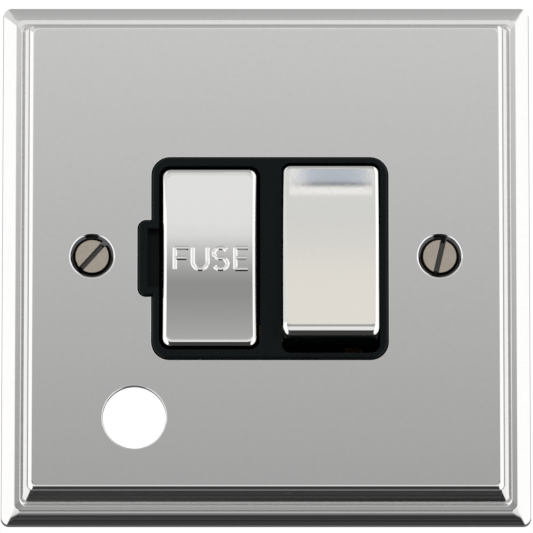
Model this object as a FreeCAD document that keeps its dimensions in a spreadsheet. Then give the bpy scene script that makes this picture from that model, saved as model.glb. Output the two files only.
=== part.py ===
import FreeCAD, Part
import math
import os
import re
import Sketcher

# Fused spur unit with switch and flex outlet. X to the right, Y towards the wall, Z up.
# The wall plane is Y = 0 and the origin is midway between the two fixing screws.
# "Forward" is the distance in front of the wall plane, so a point at forward 10 has Y = -10.

vector = FreeCAD.Vector
document = FreeCAD.newDocument("fused_spur_unit")
sheet = document.addObject("Spreadsheet::Sheet", "Sizes")

sizes = {
    # Plate: one pressed sheet with a stepped edge, from the outer lip up to the flat face
    "plate_side": 92.0,
    "plate_corner": 1.4,
    "face_corner": 0.9,
    "face_height": 10.0,
    "sheet_thickness": 1.2,
    "rim_wall": 0.95,
    "lip_height": 1.1,
    "lip_draft": 0.1,
    "ovolo_width": 2.0,
    "ovolo_rise": 1.3,
    "quirk_width": 0.08,
    "quirk_rise": 0.25,
    "ledge_width": 1.22,
    "ledge_rise": 0.04,
    "cove_width": 0.35,
    "cove_rise": 0.5,
    "riser_width": 1.25,
    "roll_width": 0.95,
    "roll_rise": 1.0,
    # Fixing screws and their dished holes
    "fixing_centres": 60.3,
    "dimple_mouth": 7.8,
    "fixing_hole": 4.2,
    "fixing_head": 5.9,
    "fixing_rim": 0.5,
    "fixing_thread": 3.5,
    "fixing_neck": 2.9,
    "neck_clearance": 0.5,
    "fixing_length": 30.0,
    "head_sink": 0.45,
    "slot_width": 0.8,
    "slot_depth": 0.9,
    "left_slot_angle": 48.0,
    "right_slot_angle": 77.0,
    # Flex outlet
    "flex_hole": 11.0,
    "flex_inset": 23.25,
    "flex_rise": 17.5,
    # Insert
    "insert_x": 0.7,
    "insert_z": -0.45,
    "opening_height": 35.7,
    "opening_corner": 3.1,
    "opening_gap": 0.12,
    "bezel_proud": 0.6,
    "bezel_round": 0.45,
    "tab_width": 2.4,
    "tab_height": 13.4,
    "tab_corner": 1.4,
    "recess_width": 2.0,
    "recess_height": 10.4,
    "recess_depth": 2.4,
    # Module behind the plate
    "module_side_lap": 3.5,
    "module_end_lap": 0.75,
    "module_corner": 3.0,
    "base_corner": 7.5,
    "split_depth": 8.0,
    "base_depth": 11.0,
    "base_floor": 3.0,
    # Ears, studs and nuts that hold the module to the plate
    "ear_width": 8.0,
    "ear_reach": 6.8,
    "ear_thickness": 2.5,
    "ear_x": 12.0,
    "stud_reach": 3.4,
    "stud_diameter": 3.0,
    "stud_hole": 3.3,
    "stud_length": 7.0,
    "nut_flats": 5.5,
    "nut_height": 2.4,
    # Screws through the two halves of the module
    "case_screw_inset": 2.9,
    "case_screw_z": 12.0,
    "case_screw_thread": 2.5,
    "case_screw_head": 4.2,
    "case_head_height": 1.7,
    "case_screw_grip": 8.0,
    "case_screw_spare": 1.0,
    "thread_gap": 0.06,
    "head_round": 0.8,
    # Fuse cover and carrier
    "cover_width": 17.1,
    "cover_side": 1.5,
    "cover_end": 1.85,
    "middle_bar": 4.15,
    "cover_corner": 1.7,
    "cover_round": 1.0,
    "cover_proud": 1.3,
    "cover_crown": 0.7,
    "cover_skirt": 1.9,
    "cover_wall": 1.0,
    "cover_gap": 0.22,
    "carrier_gap": 0.06,
    "carrier_depth": 5.0,
    "cradle_width": 9.6,
    "cradle_end_gap": 1.6,
    # Cartridge fuse
    "fuse_length": 25.4,
    "cap_diameter": 6.35,
    "cap_length": 5.5,
    "cap_wall": 0.32,
    "fuse_fit": 0.02,
    "fuse_depth": 1.0,
    "cradle_fit": 0.1,
    "cradle_wrap": 1.6,
    # Fuse clips
    "clip_width": 4.8,
    "clip_sheet": 0.6,
    "clip_gap": 0.08,
    "clip_reach": 2.6,
    "clip_flare": 0.9,
    # Rocker
    "rocker_width": 16.6,
    "rocker_side": 1.65,
    "rocker_swing": 7.0,
    "pivot_forward": 4.4,
    "rocker_taper": 0.8,
    "rocker_face_rise": 8.9,
    "rocker_dish": 0.3,
    "rocker_end_gap": 0.7,
    "rocker_skirt_rise": 2.3,
    "rocker_corner": 1.3,
    "rocker_round": 0.9,
    "rocker_wall": 1.1,
    "window_gap": 0.22,
    "window_end": 1.05,
    "axle_diameter": 3.0,
    "axle_fit": 0.05,
    "axle_reach": 1.8,
    "rocker_back_inset": 3.1,
    "rocker_back": 1.6,
    # Spring tubes, plungers and springs
    "pole_spacing": 8.4,
    "tube_diameter": 5.4,
    "tube_bore": 4.0,
    "tube_end": 5.2,
    "tube_floor": 5.0,
    "plunger_diameter": 3.8,
    "plunger_inside": 2.4,
    "plunger_neck": 2.6,
    "plunger_gap": 0.35,
    "spring_diameter": 3.0,
    "spring_wire": 0.5,
    "spring_pitch": 1.6,
    # See-saw contact arms
    "arm_pivot_depth": 5.2,
    "arm_swing": 6.0,
    "arm_half": 9.4,
    "arm_width": 4.6,
    "arm_sheet": 1.0,
    "ridge_radius": 0.8,
    "ridge_fit": 0.1,
    "contact_z": 8.0,
    "contact_diameter": 3.0,
    "contact_height": 0.4,
    "contact_gap": 0.12,
    # Straps and terminals
    "strap_width": 3.2,
    "strap_sheet": 0.8,
    "slot_gap": 0.15,
    "terminal_inset": 5.1,
    "terminal_width": 6.6,
    "terminal_height": 7.0,
    "terminal_depth": 7.4,
    "terminal_gap": 0.15,
    "leg_inset": 0.5,
    "wire_bore": 3.8,
    "wire_entry": 4.4,
    "terminal_screw": 3.0,
    "terminal_head": 4.6,
    "terminal_head_height": 1.6,
    # Earth terminal and cord grip behind the plate
    "earth_x": 22.0,
    "earth_rise": 15.0,
    "earth_width": 8.0,
    "earth_depth": 6.5,
    "grip_offset": 14.75,
    "grip_width": 6.0,
    "grip_edge_gap": 1.3,
    "grip_module_gap": 3.15,
    "grip_screw_inset": 1.8,
    "saddle_depth": 3.0,
    "saddle_groove": 4.5,
    "grip_space": 5.0,
    "grip_bar": 2.2,
}

for row, (alias, size) in enumerate(sizes.items(), start=1):
    sheet.set(f"A{row}", alias)
    sheet.set(f"B{row}", str(size))
    sheet.setAlias(f"B{row}", alias)
document.recompute()

nodes = []
overcut = 1.0
close = 1e-3

# Places and sizes that follow from the driving ones
derived = {
    "opening_width": "cover_side + cover_width + middle_bar + rocker_width + rocker_side",
    "fuse_x": "insert_x - opening_width / 2 + cover_side + cover_width / 2",
    "rocker_x": "insert_x + opening_width / 2 - rocker_side - rocker_width / 2",
    "cover_height": "opening_height - 2 * cover_end",
    "window_width": "rocker_width + 2 * window_gap",
    "window_height": "opening_height - 2 * window_end",
    "rocker_skirt_half": "window_height / 2 - rocker_end_gap",
    "rocker_face_half": "rocker_skirt_half - rocker_taper",
    "rocker_back_half": "rocker_skirt_half - rocker_back_inset",
    "module_width": "opening_width + 2 * module_side_lap",
    "module_height": "opening_height + 2 * module_end_lap",
    "case_screw_x": "module_width / 2 - case_screw_inset",
    "stud_z": "module_height / 2 + stud_reach",
    "terminal_z": "module_height / 2 - terminal_inset",
    "leg_z": "terminal_z - leg_inset",
    "dish_depth": "(dimple_mouth - fixing_hole) / 2",
    "neck_end": "dish_depth + sheet_thickness - head_sink + neck_clearance",
    "shaft_width": "cover_width + 2 * cover_gap",
    "shaft_height": "cover_height + 2 * cover_gap",
    "live_x": "rocker_x - pole_spacing / 2",
    "neutral_x": "rocker_x + pole_spacing / 2",
    "clip_z": "fuse_length / 2 - cap_length / 2",
    "cradle_height": "fuse_length - 2 * cap_length - 2 * cradle_end_gap",
    "arm_hump": "ridge_radius + ridge_fit + arm_sheet",
    "plunger_end": "pivot_forward + arm_pivot_depth - arm_hump - plunger_gap",
    "flex_x": "flex_inset - plate_side / 2",
    "flex_z": "flex_rise - plate_side / 2",
    "earth_z": "earth_rise - plate_side / 2",
    "edge_width": "lip_draft + ovolo_width + quirk_width + ledge_width + cove_width + riser_width + roll_width",
    "hollow_half": "plate_side / 2 - rim_wall - edge_width",
    "module_low": "module_height / 2 - insert_z",
    "grip_height": "hollow_half - module_low - grip_edge_gap - grip_module_gap",
    "grip_x": "flex_x + grip_offset",
    "grip_z": "grip_edge_gap + grip_height / 2 - hollow_half",
    "grip_screw_z": "grip_height / 2 - grip_screw_inset",
    "sheet_rear": "face_height - sheet_thickness",
    "bezel_front": "face_height + bezel_proud",
    "split": "-split_depth",
    "base_rear": "-split_depth - base_depth",
    "terminal_front": "-split_depth - base_floor",
    "strap_front": "-split_depth + strap_sheet",
}


def sized(expression):
    """The expression in terms of the sheet's cells, with every derived place written out."""
    def spell(match):
        word = match[0]
        if word in derived:
            return f"({sized(derived[word])})"
        return f"Sizes.{word}" if word in sizes else word

    return re.sub(r"[a-z]\w+", spell, expression)


def value(expression):
    return float(sheet.evalExpression(sized(expression)))


def bind(item, prop, expression):
    item.setExpression(prop, sized(expression))


def new_body(name):
    body = document.addObject("PartDesign::Body", name)
    body.Label = name
    return body


def keep(item, name):
    """Marks an object as a finished piece, written under this name."""
    item.Label = name
    nodes.append(item)
    return item


# Sketches

def new_sketch(body, role, offset="0"):
    plane = next(feature for feature in body.Origin.OriginFeatures if feature.Role == role)
    sketch = body.newObject("Sketcher::SketchObject", "Sketch")
    sketch.AttachmentSupport = (plane, [""])
    sketch.MapMode = "FlatFace"
    bind(sketch, "AttachmentOffset.Base.z", offset)
    return sketch


def constrain(sketch, kind, where, expression):
    index = sketch.addConstraint(Sketcher.Constraint(kind, *where, value(expression)))
    sketch.setExpression(f"Constraints[{index}]", sized(expression))


def pin_point(sketch, geometry, point, across, up):
    constrain(sketch, "DistanceX", (-1, 1, geometry, point), across)
    constrain(sketch, "DistanceY", (-1, 1, geometry, point), up)


def draw_profile(sketch, points, arcs=None, centres=None):
    """A closed outline through the points; arcs gives the radius of an edge by its number.
    A positive radius bulges to the right of the way the outline runs, a negative one to the left.
    A half circle is held by where its centre lies across, given in centres, and not by its radius."""
    arcs, centres = arcs or {}, centres or {}
    count = len(points)
    flat = [vector(value(across), value(up), 0) for across, up in points]
    ends = []
    for number in range(count):
        start, finish = flat[number], flat[(number + 1) % count]
        if number not in arcs:
            sketch.addGeometry(Part.LineSegment(start, finish), False)
            ends.append((1, 2))
            continue
        radius = value(arcs[number])
        chord = finish - start
        middle = (start + finish) / 2
        side = vector(-chord.y, chord.x, 0).normalize()
        lift = math.sqrt(max(radius ** 2 - (chord.Length / 2) ** 2, 0.0))
        centre = middle + side * (lift if radius > 0 else -lift)
        first, last = (start, finish) if radius > 0 else (finish, start)
        angles = [math.atan2(p.y - centre.y, p.x - centre.x) for p in (first, last)]
        circle = Part.Circle(centre, vector(0, 0, 1), abs(radius))
        sketch.addGeometry(Part.ArcOfCircle(circle, *angles), False)
        ends.append((1, 2) if radius > 0 else (2, 1))
    for number in range(count):
        following = (number + 1) % count
        sketch.addConstraint(
            Sketcher.Constraint("Coincident", number, ends[number][1], following, ends[following][0])
        )
    for number, (across, up) in enumerate(points):
        pin_point(sketch, number, ends[number][0], across, up)
    for number, radius in arcs.items():
        if number in centres:
            constrain(sketch, "DistanceX", (-1, 1, number, 3), centres[number])
        else:
            constrain(sketch, "Radius", (number,), f"abs({radius})")


def draw_rectangle(sketch, across, up, width, height):
    left, right = f"{across} - {width} / 2", f"{across} + {width} / 2"
    low, high = f"{up} - {height} / 2", f"{up} + {height} / 2"
    draw_profile(sketch, [(left, low), (right, low), (right, high), (left, high)])


def draw_rounded(sketch, across, up, width, height, radius):
    """A rectangle with round corners: four lines and four tangent arcs."""
    x, y = value(across), value(up)
    half_w, half_h, r = value(width) / 2, value(height) / 2, value(radius)
    centres = [(x + half_w - r, y - half_h + r), (x + half_w - r, y + half_h - r),
               (x - half_w + r, y + half_h - r), (x - half_w + r, y - half_h + r)]
    first = sketch.GeometryCount
    for turn, (cx, cy) in enumerate(centres):
        start = -math.pi / 2 + turn * math.pi / 2
        circle = Part.Circle(vector(cx, cy, 0), vector(0, 0, 1), r)
        arc = Part.ArcOfCircle(circle, start, start + math.pi / 2)
        nx, ny = centres[(turn + 1) % 4]
        out = vector(math.cos(start + math.pi / 2), math.sin(start + math.pi / 2), 0) * r
        line = Part.LineSegment(vector(cx, cy, 0) + out, vector(nx, ny, 0) + out)
        sketch.addGeometry(arc, False)
        sketch.addGeometry(line, False)
    for turn in range(4):
        arc, line = first + 2 * turn, first + 2 * turn + 1
        following = first + (2 * turn + 2) % 8
        sketch.addConstraint(Sketcher.Constraint("Tangent", arc, 2, line, 1))
        sketch.addConstraint(Sketcher.Constraint("Tangent", line, 2, following, 1))
        if turn:
            sketch.addConstraint(Sketcher.Constraint("Equal", first, arc))
    for line, kind in ((1, "Vertical"), (3, "Horizontal"), (5, "Vertical"), (7, "Horizontal")):
        sketch.addConstraint(Sketcher.Constraint(kind, first + line))
    constrain(sketch, "Radius", (first,), radius)
    constrain(sketch, "DistanceX", (-1, 1, first + 1, 1), f"{across} + {width} / 2")
    constrain(sketch, "DistanceY", (-1, 1, first + 3, 1), f"{up} + {height} / 2")
    constrain(sketch, "DistanceX", (-1, 1, first + 5, 1), f"{across} - {width} / 2")
    constrain(sketch, "DistanceY", (-1, 1, first + 7, 1), f"{up} - {height} / 2")


def draw_circle(sketch, across, up, diameter):
    number = sketch.addGeometry(
        Part.Circle(vector(value(across), value(up), 0), vector(0, 0, 1), value(diameter) / 2), False
    )
    pin_point(sketch, number, 3, across, up)
    constrain(sketch, "Diameter", (number,), diameter)


# Features

def pad(body, sketch, length):
    feature = body.newObject("PartDesign::Pad", "Pad")
    feature.Profile = sketch
    bind(feature, "Length", length)
    sketch.Visibility = False
    return feature


def pocket(body, sketch, length=None):
    """Cuts against the sketch's normal: towards the wall for a sketch on the front plane."""
    before = body.Tip
    feature = body.newObject("PartDesign::Pocket", "Pocket")
    feature.Profile = sketch
    if length is None:
        feature.Type = "ThroughAll"
    else:
        bind(feature, "Length", length)
    document.recompute()
    if feature.Shape.Volume >= before.Shape.Volume:
        raise ValueError(f"a pocket of {body.Label} cuts nothing")
    return feature


def round_edges(body, radius, chosen):
    """Fillets the edges of the body's last feature that pass the test."""
    document.recompute()
    tip = body.Tip
    names = [f"Edge{n}" for n, edge in enumerate(tip.Shape.Edges, start=1) if chosen(edge)]
    if not names:
        raise ValueError(f"no edge to round on {body.Label}")
    feature = body.newObject("PartDesign::Fillet", "Fillet")
    feature.Base = (tip, names)
    bind(feature, "Radius", radius)
    document.recompute()
    return feature


def lies_at(edge, axis, place):
    box = edge.BoundBox
    low, high = {"x": (box.XMin, box.XMax), "y": (box.YMin, box.YMax), "z": (box.ZMin, box.ZMax)}[axis]
    return abs(low - place) < close and abs(high - place) < close


def runs_along(edge, axis):
    """True for a straight edge along one axis."""
    if len(edge.Vertexes) != 2 or edge.Curve.TypeId != "Part::GeomLine":
        return False
    way = edge.Vertexes[1].Point - edge.Vertexes[0].Point
    return abs(abs(way.dot(axis)) - way.Length) < close


def place(item, across, forward, up):
    for axis, expression in (("x", across), ("y", f"-({forward})"), ("z", up)):
        bind(item, f"Placement.Base.{axis}", expression)


def turn_forward(item, spin="0"):
    """Turns a piece made along +Z to point out of the wall, spun about its own axis."""
    spin_turn = FreeCAD.Rotation(vector(0, 0, 1), value(spin))
    item.Placement.Rotation = FreeCAD.Rotation(vector(1, 0, 0), 90) * spin_turn


def turn_back(item):
    item.Placement.Rotation = FreeCAD.Rotation(vector(1, 0, 0), -90)


def group(name, items):
    compound = document.addObject("Part::Compound", name)
    compound.Links = items
    return keep(compound, name)


# Front plate

def outline(across, up, width, height, radius, forward):
    """A rounded rectangle facing the front, as one wire of eight edges."""
    half_w, half_h = width / 2 - radius, height / 2 - radius
    signs = [(1, -1), (1, 1), (-1, 1), (-1, -1)]
    centres = [vector(across + sx * half_w, -forward, up + sy * half_h) for sx, sy in signs]
    edges = []
    for turn, centre in enumerate(centres):
        steps = [turn * math.pi / 2 - math.pi / 2 + share * math.pi / 4 for share in range(3)]
        bend = [centre + vector(math.cos(step), 0, math.sin(step)) * radius for step in steps]
        edges.append(Part.Arc(*bend).toShape())
        onward = centres[(turn + 1) % 4] + vector(math.cos(steps[2]), 0, math.sin(steps[2])) * radius
        edges.append(Part.LineSegment(bend[2], onward).toShape())
    return Part.Wire(edges)


def edge_bands():
    """The moulded edge as bands of stations (inset from the lip, forward), and whether each is smooth."""
    def swell(start, width, rise, steps, concave=False):
        turns = [math.pi / 2 * step / steps for step in range(steps + 1)]
        if concave:
            return [(start[0] + width * math.sin(t), start[1] + rise * (1 - math.cos(t))) for t in turns]
        return [(start[0] + width * (1 - math.cos(t)), start[1] + rise * math.sin(t)) for t in turns]

    def straight(start, width, rise):
        return [start, (start[0] + width, start[1] + rise)]

    lip = straight((0.0, 0.0), value("lip_draft"), value("lip_height"))
    ovolo = swell(lip[-1], value("ovolo_width"), value("ovolo_rise"), 5)
    quirk = straight(ovolo[-1], value("quirk_width"), value("quirk_rise"))
    ledge = straight(quirk[-1], value("ledge_width"), value("ledge_rise"))
    cove = swell(ledge[-1], value("cove_width"), value("cove_rise"), 3, concave=True)
    riser_rise = value("face_height - roll_rise") - cove[-1][1]
    riser = straight(cove[-1], value("riser_width"), riser_rise)
    roll = swell(riser[-1], value("roll_width"), value("roll_rise"), 4)
    return [(lip, False), (ovolo, True), (quirk, False), (ledge, False), (cove, True),
            (riser, False), (roll, True)]


def stepped_block(side, back, rounded):
    """The solid under the moulded edge, for a plate of this side moved back by this much.
    Its swells are smooth where it is rounded, and narrow flats where it isn't."""
    bands = edge_bands()
    full_inset = bands[-1][0][-1][0]
    narrowing = value("face_corner - plate_corner")
    faces, rims = [], []
    for stations, smooth in bands:
        wires = []
        for inset, forward in stations:
            width = side - 2 * inset
            radius = value("plate_corner") + narrowing * inset / full_inset
            wires.append(outline(0, 0, width, width, radius, forward - back))
        faces += Part.makeLoft(wires, False, not (smooth and rounded)).Faces
        rims += [wires[0], wires[-1]]
    shell = Part.makeShell(faces + [Part.Face(rims[0]), Part.Face(rims[-1])])
    shell.sewShape()
    block = Part.makeSolid(shell)
    if block.Volume < 0:
        block.reverse()
    return block


def make_front_plate():
    thickness = value("sheet_thickness")
    face, front = value("face_height"), value("face_height") + overcut
    through = thickness + 2 * overcut
    hollow = stepped_block(value("plate_side - 2 * rim_wall"), thickness, False)
    shell = stepped_block(value("plate_side"), 0, True).cut(hollow)
    forward_way, back_way = vector(0, -1, 0), vector(0, 1, 0)
    openings = []
    window = outline(value("insert_x"), value("insert_z"), value("opening_width"),
                     value("opening_height"), value("opening_corner"), front)
    openings.append(Part.Face(window).extrude(back_way * through))
    tab_corner = value("tab_corner")
    tab_x = value("insert_x - opening_width / 2 - tab_width / 2 + tab_corner")
    tab = outline(tab_x, value("insert_z"), value("tab_width") + 2 * tab_corner,
                  value("tab_height"), tab_corner, front)
    openings.append(Part.Face(tab).extrude(back_way * through))
    flex_centre = vector(value("flex_x"), -front, value("flex_z"))
    openings.append(Part.makeCylinder(value("flex_hole / 2"), through, flex_centre, back_way))
    mouth, hole = value("dimple_mouth / 2"), value("fixing_hole / 2")
    dish_depth = value("dish_depth")
    for side in (-1, 1):
        centre = vector(side * value("fixing_centres / 2"), -face, 0)
        dish_back = Part.makeCone(mouth + thickness, hole + thickness, dish_depth,
                                  centre + back_way * thickness, back_way)
        shell = shell.fuse(dish_back)
        openings.append(Part.makeCone(mouth, hole, dish_depth, centre, back_way))
        openings.append(Part.makeCylinder(hole, dish_depth + through, centre, back_way))
    plate = document.addObject("Part::Feature", "front_plate")
    plate.Shape = shell.cut(openings).removeSplitter()
    return keep(plate, "front_plate")


# Screws, studs and nuts

def make_screw(name, head_profile, thread, length, width):
    """A slotted screw along its own Z, head up, with its seat or flat at the profile's own zero."""
    body = new_body(name)
    sketch = new_sketch(body, "XZ_Plane")
    points = [("0", f"-({length})"), (f"{thread} / 2 - slot_depth / 2", f"-({length})"),
              (f"{thread} / 2", f"-({length}) + slot_depth / 2")] + head_profile
    draw_profile(sketch, points)
    turned = body.newObject("PartDesign::Revolution", "Revolution")
    turned.Profile = sketch
    turned.ReferenceAxis = (sketch, ["V_Axis"])
    turned.Angle = 360
    document.recompute()
    top = head_profile[-1][1]
    slot = new_sketch(body, "XY_Plane", top)
    draw_rectangle(slot, "0", "0", f"2 * {width}", "slot_width")
    pocket(body, slot, "slot_depth")
    return body


def make_fixing_screws():
    under = "(fixing_head / 2 - fixing_neck / 2)"
    head = [("fixing_thread / 2", "-neck_end"), ("fixing_neck / 2", "-neck_end"),
            ("fixing_neck / 2", f"-fixing_rim - {under}"), ("fixing_head / 2", "-fixing_rim"),
            ("fixing_head / 2", "0"), ("0", "0")]
    screws = []
    for side, angle in (("-", "left_slot_angle"), ("", "right_slot_angle")):
        screw = make_screw("fixing_screw", head, "fixing_thread", "fixing_length", "fixing_head")
        turn_forward(screw, angle)
        place(screw, f"{side}fixing_centres / 2", "face_height - head_sink", "0")
        screws.append(screw)
    return group("fixing_screws", screws)


def pan_head(thread, width, height):
    return [(f"{thread} / 2", "0"), (f"{width} / 2", "0"), (f"{width} / 2", f"{height} - head_round"),
            (f"{width} / 2 - head_round", height), ("0", height)]


def make_case_screws():
    head = pan_head("case_screw_thread", "case_screw_head", "case_head_height")
    length = "(base_depth - case_head_height + case_screw_grip - case_screw_spare)"
    screws = []
    for sx in ("-", "+"):
        for sz in ("-", "+"):
            screw = make_screw("case_screw", head, "case_screw_thread", length, "case_screw_head")
            turn_back(screw)
            place(screw, f"insert_x {sx} case_screw_x", "base_rear + case_head_height",
                  f"insert_z {sz} case_screw_z")
            screws.append(screw)
    return group("case_screws", screws)


def make_studs_and_nuts():
    studs, nuts = [], []
    for sx, sz in (("-", "+"), ("+", "-")):
        across, up = f"insert_x {sx} ear_x", f"insert_z {sz} stud_z"
        stud = document.addObject("Part::Cylinder", "stud")
        bind(stud, "Radius", "stud_diameter / 2")
        bind(stud, "Height", "stud_length")
        turn_back(stud)
        place(stud, across, "sheet_rear", up)
        studs.append(stud)
        nut = document.addObject("Part::Prism", "nut_blank")
        nut.Polygon = 6
        bind(nut, "Circumradius", "nut_flats / 2 / cos(30)")
        bind(nut, "Height", "nut_height")
        bore = document.addObject("Part::Cylinder", "nut_bore")
        bind(bore, "Radius", "stud_diameter / 2 + thread_gap")
        bind(bore, "Height", "nut_height")
        drilled = document.addObject("Part::Cut", "nut")
        drilled.Base, drilled.Tool = nut, bore
        turn_back(drilled)
        place(drilled, across, "sheet_rear - ear_thickness", up)
        nuts.append(drilled)
    group("plate_studs", studs)
    group("stud_nuts", nuts)


# Module: front housing with the bezel, and base moulding

def make_front_housing():
    body = new_body("front_housing")
    proud = "(sheet_thickness + bezel_proud)"
    bezel = new_sketch(body, "XZ_Plane", "sheet_rear")
    draw_rounded(bezel, "insert_x", "insert_z", "(opening_width - 2 * opening_gap)",
                 "(opening_height - 2 * opening_gap)", "opening_corner - opening_gap")
    pad(body, bezel, proud)
    tab = new_sketch(body, "XZ_Plane", "sheet_rear")
    draw_rounded(tab, "insert_x - opening_width / 2 - tab_width / 2 + tab_corner + opening_gap",
                 "insert_z", "(tab_width + 2 * tab_corner)", "(tab_height - 2 * opening_gap)",
                 "tab_corner - opening_gap")
    pad(body, tab, proud)
    front_y = -value("bezel_front")
    round_edges(body, "bezel_round", lambda edge: lies_at(edge, "y", front_y))
    shell = new_sketch(body, "XZ_Plane", "split")
    draw_rounded(shell, "insert_x", "insert_z", "module_width", "module_height", "module_corner")
    pad(body, shell, "sheet_rear - split")
    for sx, sz in (("-", "+"), ("+", "-")):
        ear = new_sketch(body, "XZ_Plane", "sheet_rear - ear_thickness")
        draw_rectangle(ear, f"(insert_x {sx} ear_x)", f"(insert_z {sz} module_height / 2)",
                       "ear_width", "2 * ear_reach")
        pad(body, ear, "ear_thickness")
    document.recompute()
    for sx, sz in (("-", "+"), ("+", "-")):
        hole = new_sketch(body, "XZ_Plane", "sheet_rear")
        draw_circle(hole, f"insert_x {sx} ear_x", f"insert_z {sz} stud_z", "stud_hole")
        pocket(body, hole, "ear_thickness")
    shaft = new_sketch(body, "XZ_Plane", "bezel_front")
    draw_rounded(shaft, "fuse_x", "insert_z", "shaft_width", "shaft_height", "cover_corner + cover_gap")
    pocket(body, shaft)
    window = new_sketch(body, "XZ_Plane", "bezel_front")
    draw_rounded(window, "rocker_x", "insert_z", "window_width", "window_height",
                 "rocker_corner + window_gap")
    pocket(body, window)
    recess = new_sketch(body, "XZ_Plane", "bezel_front")
    shaft_left = "(fuse_x - shaft_width / 2)"
    draw_rectangle(recess, f"({shaft_left} - recess_width / 2 + cover_corner / 2)", "insert_z",
                   "(recess_width + cover_corner)", "recess_height")
    pocket(body, recess, "recess_depth")
    bearings = new_sketch(body, "YZ_Plane", "rocker_x + window_width / 2 + axle_reach")
    draw_circle(bearings, "-pivot_forward", "insert_z", "axle_diameter + 2 * axle_fit")
    pocket(body, bearings, "window_width + 2 * axle_reach")
    notch = new_sketch(body, "XZ_Plane", "strap_front + slot_gap")
    bar_left, bar_right = "(fuse_x + shaft_width / 2)", "(rocker_x - window_width / 2)"
    draw_rectangle(notch, f"({bar_left} + {bar_right}) / 2", "(insert_z - clip_z)",
                   f"({bar_right} - {bar_left} + cover_gap)", "(strap_width + 2 * slot_gap)")
    pocket(body, notch)
    for sx in ("-", "+"):
        for sz in ("-", "+"):
            hole = new_sketch(body, "XZ_Plane", "split + case_screw_grip")
            draw_circle(hole, f"insert_x {sx} case_screw_x", f"insert_z {sz} case_screw_z",
                        "case_screw_thread + 2 * thread_gap")
            pocket(body, hole)
    return keep(body, "front_housing")


terminal_places = {
    "terminal_supply_live": ("live_x", "+"),
    "terminal_supply_neutral": ("neutral_x", "+"),
    "terminal_load_live": ("fuse_x", "+"),
    "terminal_load_neutral": ("neutral_x", "-"),
}


def make_base_moulding():
    body = new_body("base_moulding")
    block = new_sketch(body, "XZ_Plane", "base_rear")
    draw_rounded(block, "insert_x", "insert_z", "module_width", "module_height", "base_corner")
    pad(body, block, "base_depth")
    document.recompute()
    rear_y = -value("base_rear")
    round_edges(body, "bezel_round", lambda edge: lies_at(edge, "y", rear_y))
    for across, side in terminal_places.values():
        well = new_sketch(body, "XZ_Plane", "terminal_front")
        draw_rectangle(well, across, f"(insert_z {side} terminal_z)",
                       "(terminal_width + 2 * terminal_gap)", "(terminal_height + 2 * terminal_gap)")
        pocket(body, well)
        leg = new_sketch(body, "XZ_Plane", "split")
        draw_rectangle(leg, across, f"(insert_z {side} (leg_z + strap_sheet / 2))",
                       "(strap_width + 2 * slot_gap)", "(strap_sheet + 2 * slot_gap)")
        pocket(body, leg, "base_floor")
        wall = "(module_height / 2 - terminal_z)"
        top = "insert_z + module_height / 2" if side == "+" else "insert_z - terminal_z"
        entry = new_sketch(body, "XY_Plane", top)
        draw_circle(entry, across, "split_depth + base_floor + terminal_depth / 2", "wire_entry")
        pocket(body, entry, wall)
    for sx in ("-", "+"):
        for sz in ("-", "+"):
            across, up = f"insert_x {sx} case_screw_x", f"insert_z {sz} case_screw_z"
            hole = new_sketch(body, "XZ_Plane", "split")
            draw_circle(hole, across, up, "case_screw_thread + 2 * thread_gap")
            pocket(body, hole)
            sink = new_sketch(body, "XZ_Plane", "base_rear + case_head_height")
            draw_circle(sink, across, up, "case_screw_head + 2 * slot_gap")
            pocket(body, sink)
    return keep(body, "base_moulding")


# Fuse cover, carrier, fuse and clips

def make_fuse_cover():
    body = new_body("fuse_cover")
    rim = "(bezel_front - cover_skirt)"
    edge = "(bezel_front + cover_proud - cover_crown)"
    radius = "((cover_height ^ 2 / 4 + cover_crown ^ 2) / (2 * cover_crown))"
    section = new_sketch(body, "YZ_Plane", "fuse_x - cover_width / 2")
    low, high = "insert_z - cover_height / 2", "insert_z + cover_height / 2"
    draw_profile(section, [(f"-{rim}", low), (f"-{rim}", high), (f"-{edge}", high), (f"-{edge}", low)],
                 {2: radius})
    pad(body, section, "cover_width")
    document.recompute()
    way = vector(0, 1, 0)
    round_edges(body, "cover_corner", lambda edge: runs_along(edge, way))
    rim_y = -value(rim)
    round_edges(body, "cover_round",
                lambda edge: edge.BoundBox.YMax < rim_y - close and not runs_along(edge, way))
    hollow = new_sketch(body, "XZ_Plane", f"{edge} - cover_wall")
    draw_rounded(hollow, "fuse_x", "insert_z", "(cover_width - 2 * cover_wall)",
                 "(cover_height - 2 * cover_wall)", "cover_corner - cover_wall")
    pocket(body, hollow)
    return keep(body, "fuse_cover")


def make_fuse_carrier():
    body = new_body("fuse_carrier")
    rim = "(bezel_front - cover_skirt)"
    edge = "(bezel_front + cover_proud - cover_crown)"
    flange = new_sketch(body, "XZ_Plane", f"{rim} - carrier_depth")
    draw_rounded(flange, "fuse_x", "insert_z", "cover_width", "cover_height", "cover_corner")
    pad(body, flange, "carrier_depth")
    plug = new_sketch(body, "XZ_Plane", rim)
    draw_rounded(plug, "fuse_x", "insert_z", "(cover_width - 2 * cover_wall - 2 * carrier_gap)",
                 "(cover_height - 2 * cover_wall - 2 * carrier_gap)",
                 "cover_corner - cover_wall - carrier_gap")
    pad(body, plug, f"{edge} - cover_wall - {rim}")
    cradle = new_sketch(body, "XZ_Plane", "-fuse_depth - cradle_wrap")
    draw_rectangle(cradle, "fuse_x", "insert_z", "cradle_width", "cradle_height")
    pad(body, cradle, f"{rim} - carrier_depth + fuse_depth + cradle_wrap")
    document.recompute()
    bore = new_sketch(body, "XY_Plane", "insert_z + cradle_height / 2")
    draw_circle(bore, "fuse_x", "fuse_depth", "cap_diameter - 2 * cap_wall + 2 * cradle_fit")
    pocket(body, bore, "cradle_height")
    return keep(body, "fuse_carrier")


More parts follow.
